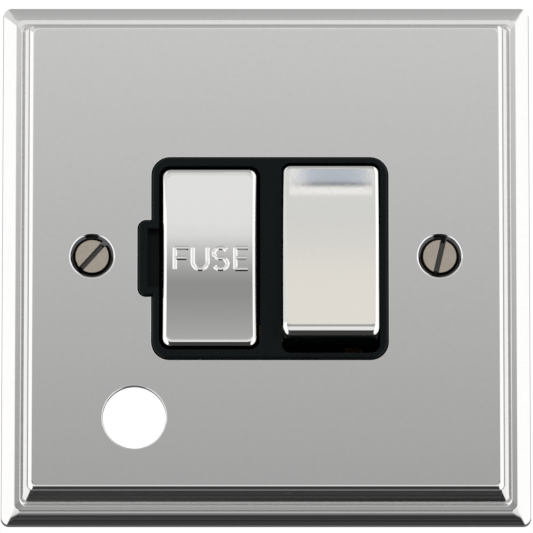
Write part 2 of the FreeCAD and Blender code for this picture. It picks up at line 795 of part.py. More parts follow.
def make_fuse():
    tube_radius = "(cap_diameter / 2 - cap_wall - fuse_fit)"
    tube = document.addObject("Part::Cylinder", "fuse_tube")
    bind(tube, "Radius", tube_radius)
    bind(tube, "Height", "fuse_length - 2 * cap_wall")
    place(tube, "fuse_x", "-fuse_depth", "insert_z - fuse_length / 2 + cap_wall")
    keep(tube, "fuse_tube")
    for name, low, hollow_low in (
        ("fuse_cap_upper", "fuse_length / 2 - cap_length", "fuse_length / 2 - cap_length"),
        ("fuse_cap_lower", "-fuse_length / 2", "-fuse_length / 2 + cap_wall"),
    ):
        blank = document.addObject("Part::Cylinder", "cap_blank")
        bind(blank, "Radius", "cap_diameter / 2")
        bind(blank, "Height", "cap_length")
        place(blank, "fuse_x", "-fuse_depth", f"insert_z + {low}")
        hollow = document.addObject("Part::Cylinder", "cap_hollow")
        bind(hollow, "Radius", f"{tube_radius} + fuse_fit")
        bind(hollow, "Height", "cap_length - cap_wall")
        place(hollow, "fuse_x", "-fuse_depth", f"insert_z + {hollow_low}")
        cap = document.addObject("Part::Cut", name)
        cap.Base, cap.Tool = blank, hollow
        keep(cap, name)


def make_clip(name, side):
    """A U of sheet that opens to the front, with lips flared apart to guide the fuse in."""
    body = new_body(name)
    inner = "(cap_diameter / 2 + clip_gap)"
    outer = f"({inner} + clip_sheet)"
    seat = "(-strap_front)"
    throat, mouth = "(fuse_depth - clip_reach)", "(fuse_depth - clip_reach - clip_flare)"
    right = [(outer, seat), (outer, throat), (f"{outer} + clip_flare", mouth),
             (f"{inner} + clip_flare", mouth), (inner, throat), (inner, f"{seat} - clip_sheet")]
    points = [(f"fuse_x + {across}", back) for across, back in right]
    points += [(f"fuse_x - ({across})", back) for across, back in reversed(right)]
    section = new_sketch(body, "XY_Plane", f"insert_z {side} clip_z - clip_width / 2")
    draw_profile(section, points)
    pad(body, section, "clip_width")
    return keep(body, name)


# Rocker

def rocker_body_frame(body):
    """Puts a piece drawn about the rocker's axle in the OFF position, lower end out."""
    body.Placement.Rotation = FreeCAD.Rotation(vector(1, 0, 0), -value("rocker_swing"))
    bind(body, "Placement.Rotation.Angle", "-rocker_swing")
    place(body, "0", "pivot_forward", "insert_z")


def rocker_profile(inset):
    """The rocker's side view about its axle, drawn in from the outside by this much."""
    face, skirt = f"(rocker_face_rise - {inset})", "rocker_skirt_rise"
    face_half, skirt_half = f"(rocker_face_half - {inset})", f"(rocker_skirt_half - {inset})"
    return [(f"-{skirt}", f"-{skirt_half}"), (f"-{skirt}", skirt_half), (f"-{face}", face_half),
            (f"-{face}", f"-{face_half}")]


dish_radius = "((rocker_face_half ^ 2 + rocker_dish ^ 2) / (2 * rocker_dish))"


def make_rocker_cap():
    body = new_body("rocker_cap")
    side = new_sketch(body, "YZ_Plane", "rocker_x - rocker_width / 2")
    draw_profile(side, rocker_profile("0"), {2: f"-{dish_radius}"})
    pad(body, side, "rocker_width")
    document.recompute()
    half = value("rocker_width") / 2
    middle, face_y = value("rocker_x"), -value("rocker_face_rise - 2 * rocker_dish")

    def is_corner(edge):
        box = edge.BoundBox
        at_side = abs(abs(box.Center.x - middle) - half) < close
        return at_side and box.YLength > half / 2 and edge.Curve.TypeId == "Part::GeomLine"

    round_edges(body, "rocker_corner", is_corner)
    round_edges(body, "rocker_round", lambda edge: edge.BoundBox.YMax < face_y)
    hollow = new_sketch(body, "YZ_Plane", "rocker_x + rocker_width / 2 - rocker_wall")
    draw_profile(hollow, rocker_profile("rocker_wall"))
    pocket(body, hollow, "rocker_width - 2 * rocker_wall")
    rocker_body_frame(body)
    return keep(body, "rocker_cap")


def make_rocker_body():
    body = new_body("rocker_body")
    inset = "(rocker_wall + carrier_gap)"
    plug = new_sketch(body, "YZ_Plane", f"rocker_x - rocker_width / 2 + {inset}")
    draw_profile(plug, rocker_profile(inset))
    pad(body, plug, f"rocker_width - 2 * {inset}")
    back = new_sketch(body, "YZ_Plane", "rocker_x - rocker_width / 2")
    draw_profile(back, [("-rocker_skirt_rise", "-rocker_back_half"), ("rocker_back", "-rocker_back_half"),
                        ("rocker_back", "rocker_back_half"), ("-rocker_skirt_rise", "rocker_back_half")])
    pad(body, back, "rocker_width")
    axle = new_sketch(body, "YZ_Plane", "rocker_x - window_width / 2 - axle_reach + slot_gap")
    draw_circle(axle, "0", "0", "axle_diameter")
    pad(body, axle, "window_width + 2 * axle_reach - 2 * slot_gap")
    for across in ("live_x", "neutral_x"):
        tube = new_sketch(body, "XZ_Plane", "-tube_end")
        draw_circle(tube, across, "0", "tube_diameter")
        pad(body, tube, "tube_end")
    document.recompute()
    for across in ("live_x", "neutral_x"):
        bore = new_sketch(body, "XZ_Plane", "tube_floor")
        draw_circle(bore, across, "0", "tube_bore")
        pocket(body, bore)
    rocker_body_frame(body)
    return keep(body, "rocker_body")


def make_plunger(name, across):
    """A stepped pin with a round nose, drawn along +Z and turned to point back from the axle."""
    body = new_body(name)
    sketch = new_sketch(body, "XZ_Plane")
    nose = "(plunger_neck / 2)"
    draw_profile(sketch, [("0", "plunger_inside"), ("plunger_diameter / 2", "plunger_inside"),
                          ("plunger_diameter / 2", "tube_end"), (nose, "tube_end + slot_gap"),
                          (nose, f"plunger_end - {nose}"), ("0", "plunger_end")],
                 {4: nose})
    turned = body.newObject("PartDesign::Revolution", "Revolution")
    turned.Profile = sketch
    turned.ReferenceAxis = (sketch, ["V_Axis"])
    turned.Angle = 360
    body.Placement.Rotation = FreeCAD.Rotation(vector(1, 0, 0), -90)
    bind(body, "Placement.Rotation.Angle", "-90 - rocker_swing")
    place(body, across, "pivot_forward", "insert_z")
    return keep(body, name)


def make_spring(name, across):
    """A coil between the floor of the tube and the plunger, drawn along +Z like the plunger.
    Its wire has six flats."""
    body = new_body(name)
    sketch = new_sketch(body, "XZ_Plane")
    flats = [(f"spring_diameter / 2 + spring_wire / 2 * cos({turn})",
              f"-tube_floor + spring_wire / 2 + thread_gap + spring_wire / 2 * sin({turn})")
             for turn in range(0, 360, 60)]
    draw_profile(sketch, flats)
    coil = body.newObject("PartDesign::AdditiveHelix", "Coil")
    coil.Profile = sketch
    coil.ReferenceAxis = (sketch, ["V_Axis"])
    coil.Mode = "pitch-height-angle"
    bind(coil, "Pitch", "spring_pitch")
    bind(coil, "Height", "tube_floor + plunger_inside - spring_wire - 2 * thread_gap")
    body.Placement.Rotation = FreeCAD.Rotation(vector(1, 0, 0), -90)
    bind(body, "Placement.Rotation.Angle", "-90 - rocker_swing")
    place(body, across, "pivot_forward", "insert_z")
    return keep(body, name)


# Switch contacts

def make_contact_arm(name, across):
    """A see-saw strip with a formed hump that rocks on the ridge behind it."""
    body = new_body(name)
    inner = "(ridge_radius + ridge_fit)"
    outer = f"({inner} + arm_sheet)"
    section = new_sketch(body, "YZ_Plane", f"{across} - arm_width / 2")
    draw_profile(section,
                 [("0", "-arm_half"), ("0", f"-{inner}"), ("0", inner), ("0", "arm_half"),
                  ("-arm_sheet", "arm_half"), ("-arm_sheet", f"sqrt({outer} ^ 2 - arm_sheet ^ 2)"),
                  ("-arm_sheet", f"-sqrt({outer} ^ 2 - arm_sheet ^ 2)"), ("-arm_sheet", "-arm_half")],
                 {1: f"-{inner}", 5: outer}, {1: "0"})
    pad(body, section, "arm_width")
    button = new_sketch(body, "XZ_Plane", "-contact_height")
    draw_circle(button, across, "contact_z", "contact_diameter")
    pad(body, button, "contact_height")
    body.Placement.Rotation = FreeCAD.Rotation(vector(1, 0, 0), value("arm_swing"))
    bind(body, "Placement.Rotation.Angle", "arm_swing")
    place(body, "0", "-arm_pivot_depth", "insert_z")
    return keep(body, name)


def strap_section(body, across, points, arcs=None, centres=None):
    section = new_sketch(body, "YZ_Plane", f"{across} - strap_width / 2")
    draw_profile(section, [(back, f"insert_z + {up}") for back, up in points], arcs, centres)
    pad(body, section, "strap_width")


def make_leg_strap(name, across, low, button):
    """A strap on the floor of the module, with a leg through it to the terminal above."""
    body = new_body(name)
    front, floor, terminal = "(-strap_front)", "split_depth", "(-terminal_front)"
    strap_section(body, across, [(front, low), (floor, low), (floor, "leg_z"), (terminal, "leg_z"),
                                 (terminal, "(leg_z + strap_sheet)"), (front, "(leg_z + strap_sheet)")])
    if button:
        edge = "(contact_z + contact_diameter / 2)"
        reach = f"({edge} * sin(arm_swing) + contact_height * cos(arm_swing) + contact_gap)"
        top = f"(-arm_pivot_depth - {reach})"
        seat = new_sketch(body, "XZ_Plane", "strap_front")
        draw_circle(seat, across, "insert_z + contact_z", "contact_diameter")
        pad(body, seat, f"{top} - strap_front")
    return keep(body, name)


def make_fulcrum(name, across, to_fuse):
    """A strap with a rounded ridge that carries the arm and the current."""
    body = new_body(name)
    front, floor, terminal = "(-strap_front)", "split_depth", "(-terminal_front)"
    ridge = [(floor, "(contact_z / 2)"), (front, "(contact_z / 2)"), (front, "ridge_radius"),
             ("arm_pivot_depth", "ridge_radius"), ("arm_pivot_depth", "(-ridge_radius)"),
             (front, "(-ridge_radius)")]
    if to_fuse:
        end = "(-clip_z - strap_width / 2)"
        foot = [(front, end), (floor, end)]
    else:
        foot = [(front, "(-leg_z - strap_sheet)"), (terminal, "(-leg_z - strap_sheet)"),
                (terminal, "(-leg_z)"), (floor, "(-leg_z)")]
    strap_section(body, across, ridge + foot, {3: "ridge_radius"}, {3: "arm_pivot_depth"})
    if to_fuse:
        link = new_sketch(body, "XZ_Plane", "split")
        draw_rectangle(link, f"(({across} + fuse_x) / 2)", "(insert_z - clip_z)",
                       f"({across} - fuse_x + strap_width)", "strap_width")
        pad(body, link, "strap_sheet")
    return keep(body, name)


def make_terminal(name, across, up):
    """A brass block with a bore for the conductor and a tapped hole for its screw."""
    body = new_body(name)
    rear = "(terminal_front - terminal_depth)"
    block = new_sketch(body, "XZ_Plane", rear)
    draw_rounded(block, across, up, "terminal_width", "terminal_height", "bezel_round")
    pad(body, block, "terminal_depth")
    document.recompute()
    middle = "(-terminal_front + terminal_depth / 2)"
    wire = new_sketch(body, "XY_Plane", f"{up} + terminal_height / 2")
    draw_circle(wire, across, middle, "wire_bore")
    pocket(body, wire, "terminal_height")
    tapping = new_sketch(body, "XZ_Plane", f"-{middle}")
    draw_circle(tapping, across, up, "terminal_screw + 2 * thread_gap")
    pocket(body, tapping)
    return keep(body, name)


def make_terminal_screws():
    head = pan_head("terminal_screw", "terminal_head", "terminal_head_height")
    length = "(terminal_depth / 2 - wire_bore / 2 - slot_gap)"
    screws = []
    for across, side in terminal_places.values():
        screw = make_screw("terminal_screw_body", head, "terminal_screw", length, "terminal_head")
        turn_back(screw)
        place(screw, across, "terminal_front - terminal_depth", f"insert_z {side} terminal_z")
        screws.append(screw)
    return group("terminal_screws", screws)


# Behind the plate: earth terminal and cord grip

def make_earth():
    body = new_body("earth_terminal")
    block = new_sketch(body, "XZ_Plane", "sheet_rear - earth_depth")
    draw_rounded(block, "earth_x", "earth_z", "earth_width", "earth_width", "bezel_round")
    pad(body, block, "earth_depth")
    document.recompute()
    middle = "(sheet_rear - earth_depth / 2)"
    wire = new_sketch(body, "YZ_Plane", "earth_x + earth_width / 2")
    draw_circle(wire, f"-{middle}", "earth_z", "wire_bore")
    pocket(body, wire, "earth_width")
    tapping = new_sketch(body, "XZ_Plane", middle)
    draw_circle(tapping, "earth_x", "earth_z", "terminal_screw + 2 * thread_gap")
    pocket(body, tapping)
    keep(body, "earth_terminal")
    head = pan_head("terminal_screw", "terminal_head", "terminal_head_height")
    length = "(earth_depth / 2 - wire_bore / 2 - slot_gap)"
    screw = make_screw("earth_screw", head, "terminal_screw", length, "terminal_head")
    turn_back(screw)
    place(screw, "earth_x", "sheet_rear - earth_depth", "earth_z")
    keep(screw, "earth_screw")


def make_cord_grip():
    saddle = new_body("cord_saddle")
    block = new_sketch(saddle, "XZ_Plane", "sheet_rear - saddle_depth")
    draw_rounded(block, "grip_x", "grip_z", "grip_width", "grip_height", "bezel_round")
    pad(saddle, block, "saddle_depth")
    document.recompute()
    channel = new_sketch(saddle, "YZ_Plane", "grip_x + grip_width / 2")
    axis = "(-sheet_rear + saddle_depth + saddle_groove / 2)"
    draw_circle(channel, axis, "grip_z", "2 * saddle_groove")
    pocket(saddle, channel, "grip_width")
    for side in ("-", "+"):
        hole = new_sketch(saddle, "XZ_Plane", "sheet_rear")
        draw_circle(hole, "grip_x", f"grip_z {side} grip_screw_z", "case_screw_thread + 2 * thread_gap")
        pocket(saddle, hole)
    keep(saddle, "cord_saddle")

    bar = new_body("cord_grip_bar")
    bar_front = "(sheet_rear - saddle_depth - grip_space)"
    strip = new_sketch(bar, "XZ_Plane", f"{bar_front} - grip_bar")
    draw_rounded(strip, "grip_x", "grip_z", "grip_width", "grip_height", "grip_width / 4")
    pad(bar, strip, "grip_bar")
    document.recompute()
    for side in ("-", "+"):
        hole = new_sketch(bar, "XZ_Plane", bar_front)
        draw_circle(hole, "grip_x", f"grip_z {side} grip_screw_z", "case_screw_thread + 2 * slot_gap")
        pocket(bar, hole)
    keep(bar, "cord_grip_bar")

    head = pan_head("case_screw_thread", "case_screw_head", "case_head_height")
    length = "(saddle_depth + grip_space + grip_bar - thread_gap)"
    screws = []
    for side in ("-", "+"):
        screw = make_screw("cord_grip_screw", head, "case_screw_thread", length, "case_screw_head")
        turn_back(screw)
        place(screw, "grip_x", f"{bar_front} - grip_bar", f"grip_z {side} grip_screw_z")
        screws.append(screw)
    group("cord_grip_screws", screws)


make_front_plate()
make_fixing_screws()
make_studs_and_nuts()
make_front_housing()
make_base_moulding()
make_case_screws()
make_fuse_cover()
make_fuse_carrier()
make_fuse()
make_clip("fuse_clip_upper", "+")
make_clip("fuse_clip_lower", "-")
make_rocker_cap()
make_rocker_body()
for pole in ("live", "neutral"):
    pole_x = f"{pole}_x"
    make_plunger(f"plunger_{pole}", pole_x)
    make_spring(f"spring_{pole}", pole_x)
    make_contact_arm(f"contact_arm_{pole}", pole_x)
    make_leg_strap(f"fixed_contact_{pole}", pole_x, "(contact_z - contact_diameter / 2)", True)
    make_fulcrum(f"fulcrum_{pole}", pole_x, pole == "live")
make_leg_strap("fuse_strap", "fuse_x", "(clip_z - clip_width / 2)", False)
for terminal, (terminal_x, terminal_side) in terminal_places.items():
    make_terminal(terminal, terminal_x, f"(insert_z {terminal_side} terminal_z)")
make_terminal_screws()
make_earth()
make_cord_grip()
document.recompute()

for item in document.Objects:
    if "Invalid" in item.State or "Error" in item.State:
        raise ValueError(f"{item.Label} is {item.State}")
for item in nodes:
    if item.Shape.isNull() or not item.Shape.isValid():
        raise ValueError(f"{item.Label} has no valid shape")

os.makedirs("parts", exist_ok=True)
for item in nodes:
    item.Shape.exportStep(f"parts/{item.Label}.step")
print(len(nodes), "pieces written")
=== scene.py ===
import math

import bmesh
import bpy
from mathutils import Matrix, Vector
from mathutils.geometry import tessellate_polygon


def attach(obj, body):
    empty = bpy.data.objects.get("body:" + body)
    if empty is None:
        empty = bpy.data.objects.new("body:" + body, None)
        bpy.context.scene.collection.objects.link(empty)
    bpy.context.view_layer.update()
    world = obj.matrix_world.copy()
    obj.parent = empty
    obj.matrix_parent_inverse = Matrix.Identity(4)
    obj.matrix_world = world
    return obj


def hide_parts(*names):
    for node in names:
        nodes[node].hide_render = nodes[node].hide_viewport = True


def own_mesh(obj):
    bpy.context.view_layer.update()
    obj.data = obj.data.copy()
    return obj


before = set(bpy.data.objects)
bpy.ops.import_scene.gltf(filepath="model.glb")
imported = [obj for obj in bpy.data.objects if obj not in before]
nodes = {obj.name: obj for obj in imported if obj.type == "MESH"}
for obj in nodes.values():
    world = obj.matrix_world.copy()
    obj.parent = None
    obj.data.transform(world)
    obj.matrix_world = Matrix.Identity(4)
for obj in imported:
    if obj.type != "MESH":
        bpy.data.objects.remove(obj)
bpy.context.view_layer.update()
mm = 0.001
seam = 1e-7   # points nearer than this are one, in metres

# Where things are on the unit: front faces -Y, wall plane at Y = 0, numbers in mm
insert = {"x": 0.7, "z": -0.45, "width": 41.0, "height": 35.7, "corner": 3.1,
          "tabWidth": 2.4, "tabHeight": 13.4, "tabCorner": 1.4}
print("frame loaded")


# Small helpers for meshes

def roundedRect(cx, cz, halfW, halfH, radius, bend=10, side=1):
    # points (x, z) once round a rounded rectangle, mirror-symmetric left to right
    corners = [(1, -1, -90), (1, 1, 0), (-1, 1, 90), (-1, -1, 180)]
    points = []
    for index, (sx, sz, start) in enumerate(corners):
        ox, oz = cx + sx * (halfW - radius), cz + sz * (halfH - radius)
        for step in range(bend + 1):
            turn = math.radians(start + 90 * step / bend)
            points.append((ox + radius * math.cos(turn), oz + radius * math.sin(turn)))
        nx, nz, nextStart = corners[(index + 1) % 4]
        turn = math.radians(nextStart)
        tx = cx + nx * (halfW - radius) + radius * math.cos(turn)
        tz = cz + nz * (halfH - radius) + radius * math.sin(turn)
        parts = side if index in (0, 2) else 1   # the upright sides may carry more points
        lastX, lastZ = points[-1]
        for step in range(1, parts):
            share = step / parts
            points.append((lastX + (tx - lastX) * share, lastZ + (tz - lastZ) * share))
    return points


def circlePoints(cx, cz, radius, count=72):
    return [(cx + radius * math.cos(math.tau * k / count), cz + radius * math.sin(math.tau * k / count))
            for k in range(count)]


class Shell:
    # collects rings of points and the faces between them, in mm
    def __init__(self):
        self.points = []
        self.faces = []
        self.flat = []

    def ring(self, outline, forward):
        start = len(self.points)
        if callable(forward):
            self.points += [(x, -forward(x, z), z) for x, z in outline]
        else:
            self.points += [(x, -forward, z) for x, z in outline]
        return list(range(start, len(self.points)))

    def bridge(self, first, second, flat=False):
        count = len(first)
        for k in range(count):
            self.faces.append((first[k], first[(k + 1) % count], second[(k + 1) % count], second[k]))
            self.flat.append(flat)

    def bridgeAll(self, rings):
        for first, second in zip(rings, rings[1:]):
            self.bridge(first, second)

    def fill(self, rings):
        # a flat face between an outer ring and the rings of its holes
        loops = [[Vector((self.points[i][0], self.points[i][2], 0)) for i in ring] for ring in rings]
        order = [i for ring in rings for i in ring]
        for a, b, c in tessellate_polygon(loops):
            self.faces.append((order[a], order[b], order[c]))
            self.flat.append(True)

    def strips(self, ring):
        # joins the left and right halves of a mirror-symmetric ring with level strips
        bend = sorted(ring, key=lambda i: (round(self.points[i][2], 6), self.points[i][0]))
        rows = {}
        for i in bend:
            rows.setdefault(round(self.points[i][2], 5), []).append(i)
        levels = [rows[z] for z in sorted(rows)]
        for low, high in zip(levels, levels[1:]):
            loop = [low[0], low[-1], high[-1], high[0]]
            loop = [i for n, i in enumerate(loop) if i not in loop[:n]]
            if len(loop) > 2:
                self.faces.append(tuple(loop))
                self.flat.append(False)

    def build(self, name, transform=None, sharpAngle=35):
        mesh = bpy.data.meshes.new(name)
        mesh.from_pydata([tuple(v * mm for v in p) for p in self.points], [], self.faces)
        for polygon, flat in zip(mesh.polygons, self.flat):
            polygon.use_smooth = not flat
        if transform is not None:
            mesh.transform(transform)
        cleanMesh(mesh, sharpAngle)
        return addObject(name, mesh)


def cleanMesh(mesh, sharpAngle, smooth=None):
    # closed seams, outward normals, and sharp edges above this angle
    bm = bmesh.new()
    bm.from_mesh(mesh)
    bmesh.ops.remove_doubles(bm, verts=bm.verts, dist=seam)
    bmesh.ops.recalc_face_normals(bm, faces=bm.faces)
    for face in bm.faces:
        face.smooth = face.smooth if smooth is None else smooth
    for edge in bm.edges:
        if len(edge.link_faces) == 2 and edge.calc_face_angle(0) > math.radians(sharpAngle):
            edge.smooth = False
    bm.to_mesh(mesh)
    bm.free()


def addObject(name, data):
    thing = bpy.data.objects.new(name, data)
    bpy.context.scene.collection.objects.link(thing)
    return thing


def evaluatedMesh(thing):
    return bpy.data.meshes.new_from_object(thing.evaluated_get(bpy.context.evaluated_depsgraph_get()))


def rounding(startForward, radius, steps):
    # stations (inset, forward) of a quarter round that ends level with the face
    return [(radius * (1 - math.cos(math.pi / 2 * k / steps)),
             startForward + radius * math.sin(math.pi / 2 * k / steps)) for k in range(1, steps + 1)]


def giveMaterial(thing, material):
    thing.data.materials.clear()
    thing.data.materials.append(material)


def dressNode(name, material):
    for slot in nodes[name].material_slots:
        slot.material = material


# Helpers for node trees: a node's feeds are the values or the other nodes' outputs for its inputs

def feed(node, feeds):
    for name, term in feeds.items():
        if isinstance(term, bpy.types.NodeSocket):
            node.id_data.links.new(term, node.inputs[name])
        else:
            node.inputs[name].default_value = term


def addNode(tree, kind, feeds=None, **settings):
    node = tree.nodes.new(kind)
    node.location = (200 * (len(tree.nodes) % 10), -300 * (len(tree.nodes) // 10))
    for key, setting in settings.items():
        setattr(node, key, setting)
    feed(node, feeds or {})
    return node


def calc(tree, operation, *terms):
    return addNode(tree, "ShaderNodeMath", dict(enumerate(terms)), operation=operation).outputs["Value"]


def vectorCalc(tree, operation, *terms):
    node = addNode(tree, "ShaderNodeVectorMath", dict(enumerate(terms)), operation=operation)
    return node.outputs["Value" if operation in ("LENGTH", "DOT_PRODUCT") else "Vector"]


def vector(tree, x, y, z):
    return addNode(tree, "ShaderNodeCombineXYZ", {"X": x, "Y": y, "Z": z}).outputs["Vector"]


def split(tree, term):
    return addNode(tree, "ShaderNodeSeparateXYZ", {"Vector": term}).outputs


def mapped(tree, term, low, high, toLow=0.0, toHigh=1.0, curve="LINEAR"):
    return addNode(tree, "ShaderNodeMapRange", {
        "Value": term, "From Min": low, "From Max": high, "To Min": toLow, "To Max": toHigh,
    }, interpolation_type=curve).outputs["Result"]


def toned(tree, mask, plain, other):
    # one colour, and another where the mask is: each is an output or (red, green, blue)
    first, second = ((*tone, 1) if isinstance(tone, tuple) else tone for tone in (plain, other))
    return addNode(tree, "ShaderNodeMix", {"Factor": mask, "A": first, "B": second}, data_type="RGBA").outputs["Result"]


def newMaterial(name):
    material = bpy.data.materials.new(name)
    material.use_nodes = True
    return material, material.node_tree, material.node_tree.nodes["Principled BSDF"]


def newGroup(name, inputs, outputs):
    # inputs with their values, or None for a vector
    group = bpy.data.node_groups.new(name, "ShaderNodeTree")
    for label, default in inputs.items():
        kind = "NodeSocketVector" if default is None else "NodeSocketFloat"
        socket = group.interface.new_socket(label, in_out="INPUT", socket_type=kind)
        if default is not None:
            socket.default_value = default
    for label in outputs:
        group.interface.new_socket(label, in_out="OUTPUT", socket_type="NodeSocketFloat")
    return group, addNode(group, "NodeGroupInput").outputs, addNode(group, "NodeGroupOutput")


def makeMottle():
    # slow waves and fine speckle, as on plated sheet
    group, source, result = newGroup("surfaceMottle", {
        "Vector": None, "Broad Scale": 60.0, "Fine Scale": 900.0, "Fine Share": 0.4}, ("Height", "Mask"))

    def noise(scale, detail):
        return addNode(group, "ShaderNodeTexNoise", {
            "Vector": source["Vector"], "Scale": source[scale], "Detail": detail}).outputs["Fac"]

    fine = noise("Fine Scale", 2.0)
    mix = addNode(group, "ShaderNodeMix", {
        "Factor": source["Fine Share"], "A": noise("Broad Scale", 3.0), "B": fine}, data_type="FLOAT")
    feed(result, {"Height": mix.outputs["Result"], "Mask": fine})
    return group


rubMarks = {"turns": (0.5, 2.1), "band": (0.66, 0.74)}


def makeHairlines():
    # thin random rub marks that cross each other
    group, source, result = newGroup("hairlines", {"Vector": None, "Scale": 500.0, "Stretch": 0.03}, ("Mask",))
    masks = []
    for turn in rubMarks["turns"]:
        turned = addNode(group, "ShaderNodeMapping", {"Vector": source["Vector"], "Rotation": (0, turn, 0)})
        stretched = vectorCalc(group, "MULTIPLY", turned.outputs["Vector"], vector(group, 1.0, 1.0, source["Stretch"]))
        noise = addNode(group, "ShaderNodeTexNoise", {"Vector": stretched, "Scale": source["Scale"], "Detail": 1.0})
        masks.append(mapped(group, noise.outputs["Fac"], *rubMarks["band"]))
    feed(result, {"Mask": calc(group, "MAXIMUM", *masks)})
    return group


mottleGroup = makeMottle()
hairlineGroup = makeHairlines()


def surface(name, look, glossFrom):
    # a colour and a gloss that vary a little, and a faint wave or grain
    material, tree, shader = newMaterial(name)
    place = addNode(tree, "ShaderNodeTexCoord").outputs["Object"]
    mottle = addNode(tree, "ShaderNodeGroup", {
        "Vector": place, "Broad Scale": look["broad"], "Fine Scale": look["fine"], "Fine Share": look["fineShare"],
    }, node_tree=mottleGroup).outputs
    gloss = mapped(tree, mottle[glossFrom], 0.0, 1.0, *look["rough"])
    bump = addNode(tree, "ShaderNodeBump", {"Strength": 1.0, "Distance": look["bump"], "Height": mottle["Height"]})
    feed(shader, {"Base Color": toned(tree, mottle["Mask"], look["color"], look["otherColor"]),
                  "Roughness": gloss, "Normal": bump.outputs["Normal"]})
    return material, tree, shader, place, gloss


def metal(name, look):
    # plated metal, with rub marks
    material, tree, shader, place, gloss = surface(name, look, "Mask")
    rubs = addNode(tree, "ShaderNodeGroup", {"Vector": place, "Scale": look["rubScale"]}, node_tree=hairlineGroup)
    rubbed = calc(tree, "MULTIPLY_ADD", rubs.outputs["Mask"], look["rubRough"], gloss)
    feed(shader, {"Metallic": 1.0, "Roughness": rubbed})
    return material


def moulded(name, look):
    # moulded plastic, with a fine grain
    material, _, shader, _, _ = surface(name, {"fineShare": 0.6, **look}, "Height")
    feed(shader, {"IOR": look["ior"], "Specular IOR Level": look.get("shine", 0.5)})
    return material


def shade(material, tone, mask):
    # paints the metal with this tone where mask(tree, x, y, z) is; used for painted shade
    tree = material.node_tree
    shader = tree.nodes["Principled BSDF"]
    x, y, z = split(tree, addNode(tree, "ShaderNodeTexCoord").outputs["Object"])
    plain = shader.inputs["Base Color"].links[0].from_socket
    feed(shader, {"Base Color": toned(tree, mask(tree, x, y, z), plain, tone)})


plateChrome = metal("plateChrome", {
    "color": (0.88, 0.875, 0.87), "otherColor": (0.84, 0.835, 0.83), "broad": 55, "fine": 900, "fineShare": 0.12,
    "rubScale": 700, "rough": (0.035, 0.06), "rubRough": 0.02, "bump": 0.000004})
smallChrome = metal("smallChrome", {
    "color": (0.90, 0.895, 0.885), "otherColor": (0.87, 0.865, 0.855), "broad": 90, "fine": 1400, "fineShare": 0.1,
    "rubScale": 900, "rough": (0.018, 0.035), "rubRough": 0.004, "bump": 0.0000015})
nickel = metal("screwNickel", {
    "color": (0.66, 0.585, 0.50), "otherColor": (0.44, 0.39, 0.34), "broad": 700, "fine": 3000, "fineShare": 0.5,
    "rubScale": 1500, "rough": (0.25, 0.42), "rubRough": 0.1, "bump": 0.00001})
zinc = metal("zincSteel", {
    "color": (0.60, 0.61, 0.60), "otherColor": (0.47, 0.48, 0.47), "broad": 500, "fine": 2500, "fineShare": 0.5,
    "rubScale": 1200, "rough": (0.28, 0.4), "rubRough": 0.1, "bump": 0.00001})
brass = metal("plainBrass", {
    "color": (0.76, 0.57, 0.25), "otherColor": (0.60, 0.42, 0.17), "broad": 400, "fine": 2200, "fineShare": 0.5,
    "rubScale": 1200, "rough": (0.22, 0.36), "rubRough": 0.1, "bump": 0.00001})
springSteel = metal("springSteel", {
    "color": (0.5, 0.5, 0.52), "otherColor": (0.38, 0.38, 0.40), "broad": 900, "fine": 3500, "fineShare": 0.5,
    "rubScale": 1500, "rough": (0.25, 0.35), "rubRough": 0.1, "bump": 0.000005})
fuseCapMetal = metal("fuseCapMetal", {
    "color": (0.70, 0.68, 0.64), "otherColor": (0.58, 0.56, 0.52), "broad": 500, "fine": 2500, "fineShare": 0.5,
    "rubScale": 1200, "rough": (0.2, 0.32), "rubRough": 0.1, "bump": 0.000008})
blackMoulding = moulded("blackMoulding", {
    "color": (0.0022, 0.0040, 0.0042), "otherColor": (0.004, 0.006, 0.0065), "broad": 300, "fine": 2600,
    "rough": (0.22, 0.32), "bump": 0.000012, "ior": 1.4, "shine": 0.14})
rearMoulding = moulded("rearMoulding", {
    "color": (0.012, 0.012, 0.013), "otherColor": (0.022, 0.022, 0.024), "broad": 250, "fine": 2000,
    "rough": (0.42, 0.55), "bump": 0.00002, "ior": 1.45})
nylon = moulded("whiteNylon", {
    "color": (0.74, 0.73, 0.68), "otherColor": (0.80, 0.79, 0.75), "broad": 300, "fine": 2200,
    "rough": (0.35, 0.45), "bump": 0.00001, "ior": 1.5})
ceramic = moulded("fuseCeramic", {
    "color": (0.80, 0.77, 0.70), "otherColor": (0.86, 0.84, 0.79), "broad": 300, "fine": 3000,
    "rough": (0.5, 0.62), "bump": 0.00001, "ior": 1.5})
print("materials made")


# Front plate: the moulded edge, the flat face with its openings, and the hollow behind

# the dish tone and its soft edge are painted shade in the screw dishes
plateSizes = {"side": 92.0, "corner": 1.4, "faceCorner": 0.9, "face": 10.0, "sheet": 1.2, "rimWall": 0.95,
              "lip": (0.12, 1.35), "ovolo": (2.2, 1.15), "ovoloTurns": (20, 55), "quirk": (0.1, 0.25),
              "ledge": (0.75, 0.04), "crease": (0.08, -0.2), "cove": (0.4, 0.6), "riser": 1.1, "roll": (0.95, 0.95),
              "edgeRound": 0.18, "flexX": -22.75, "flexZ": -28.5, "flexRadius": 5.5,
              "screwX": 30.15, "dishMouth": 3.9, "dishHole": 2.1, "dishRound": 0.35,
              "dishSlope": 45, "dishBends": 6, "dishShadeSoft": 0.1, "dishShadeTone": (0.085, 0.086, 0.09),
              "holeBevel": 0.15, "roundSteps": 5}


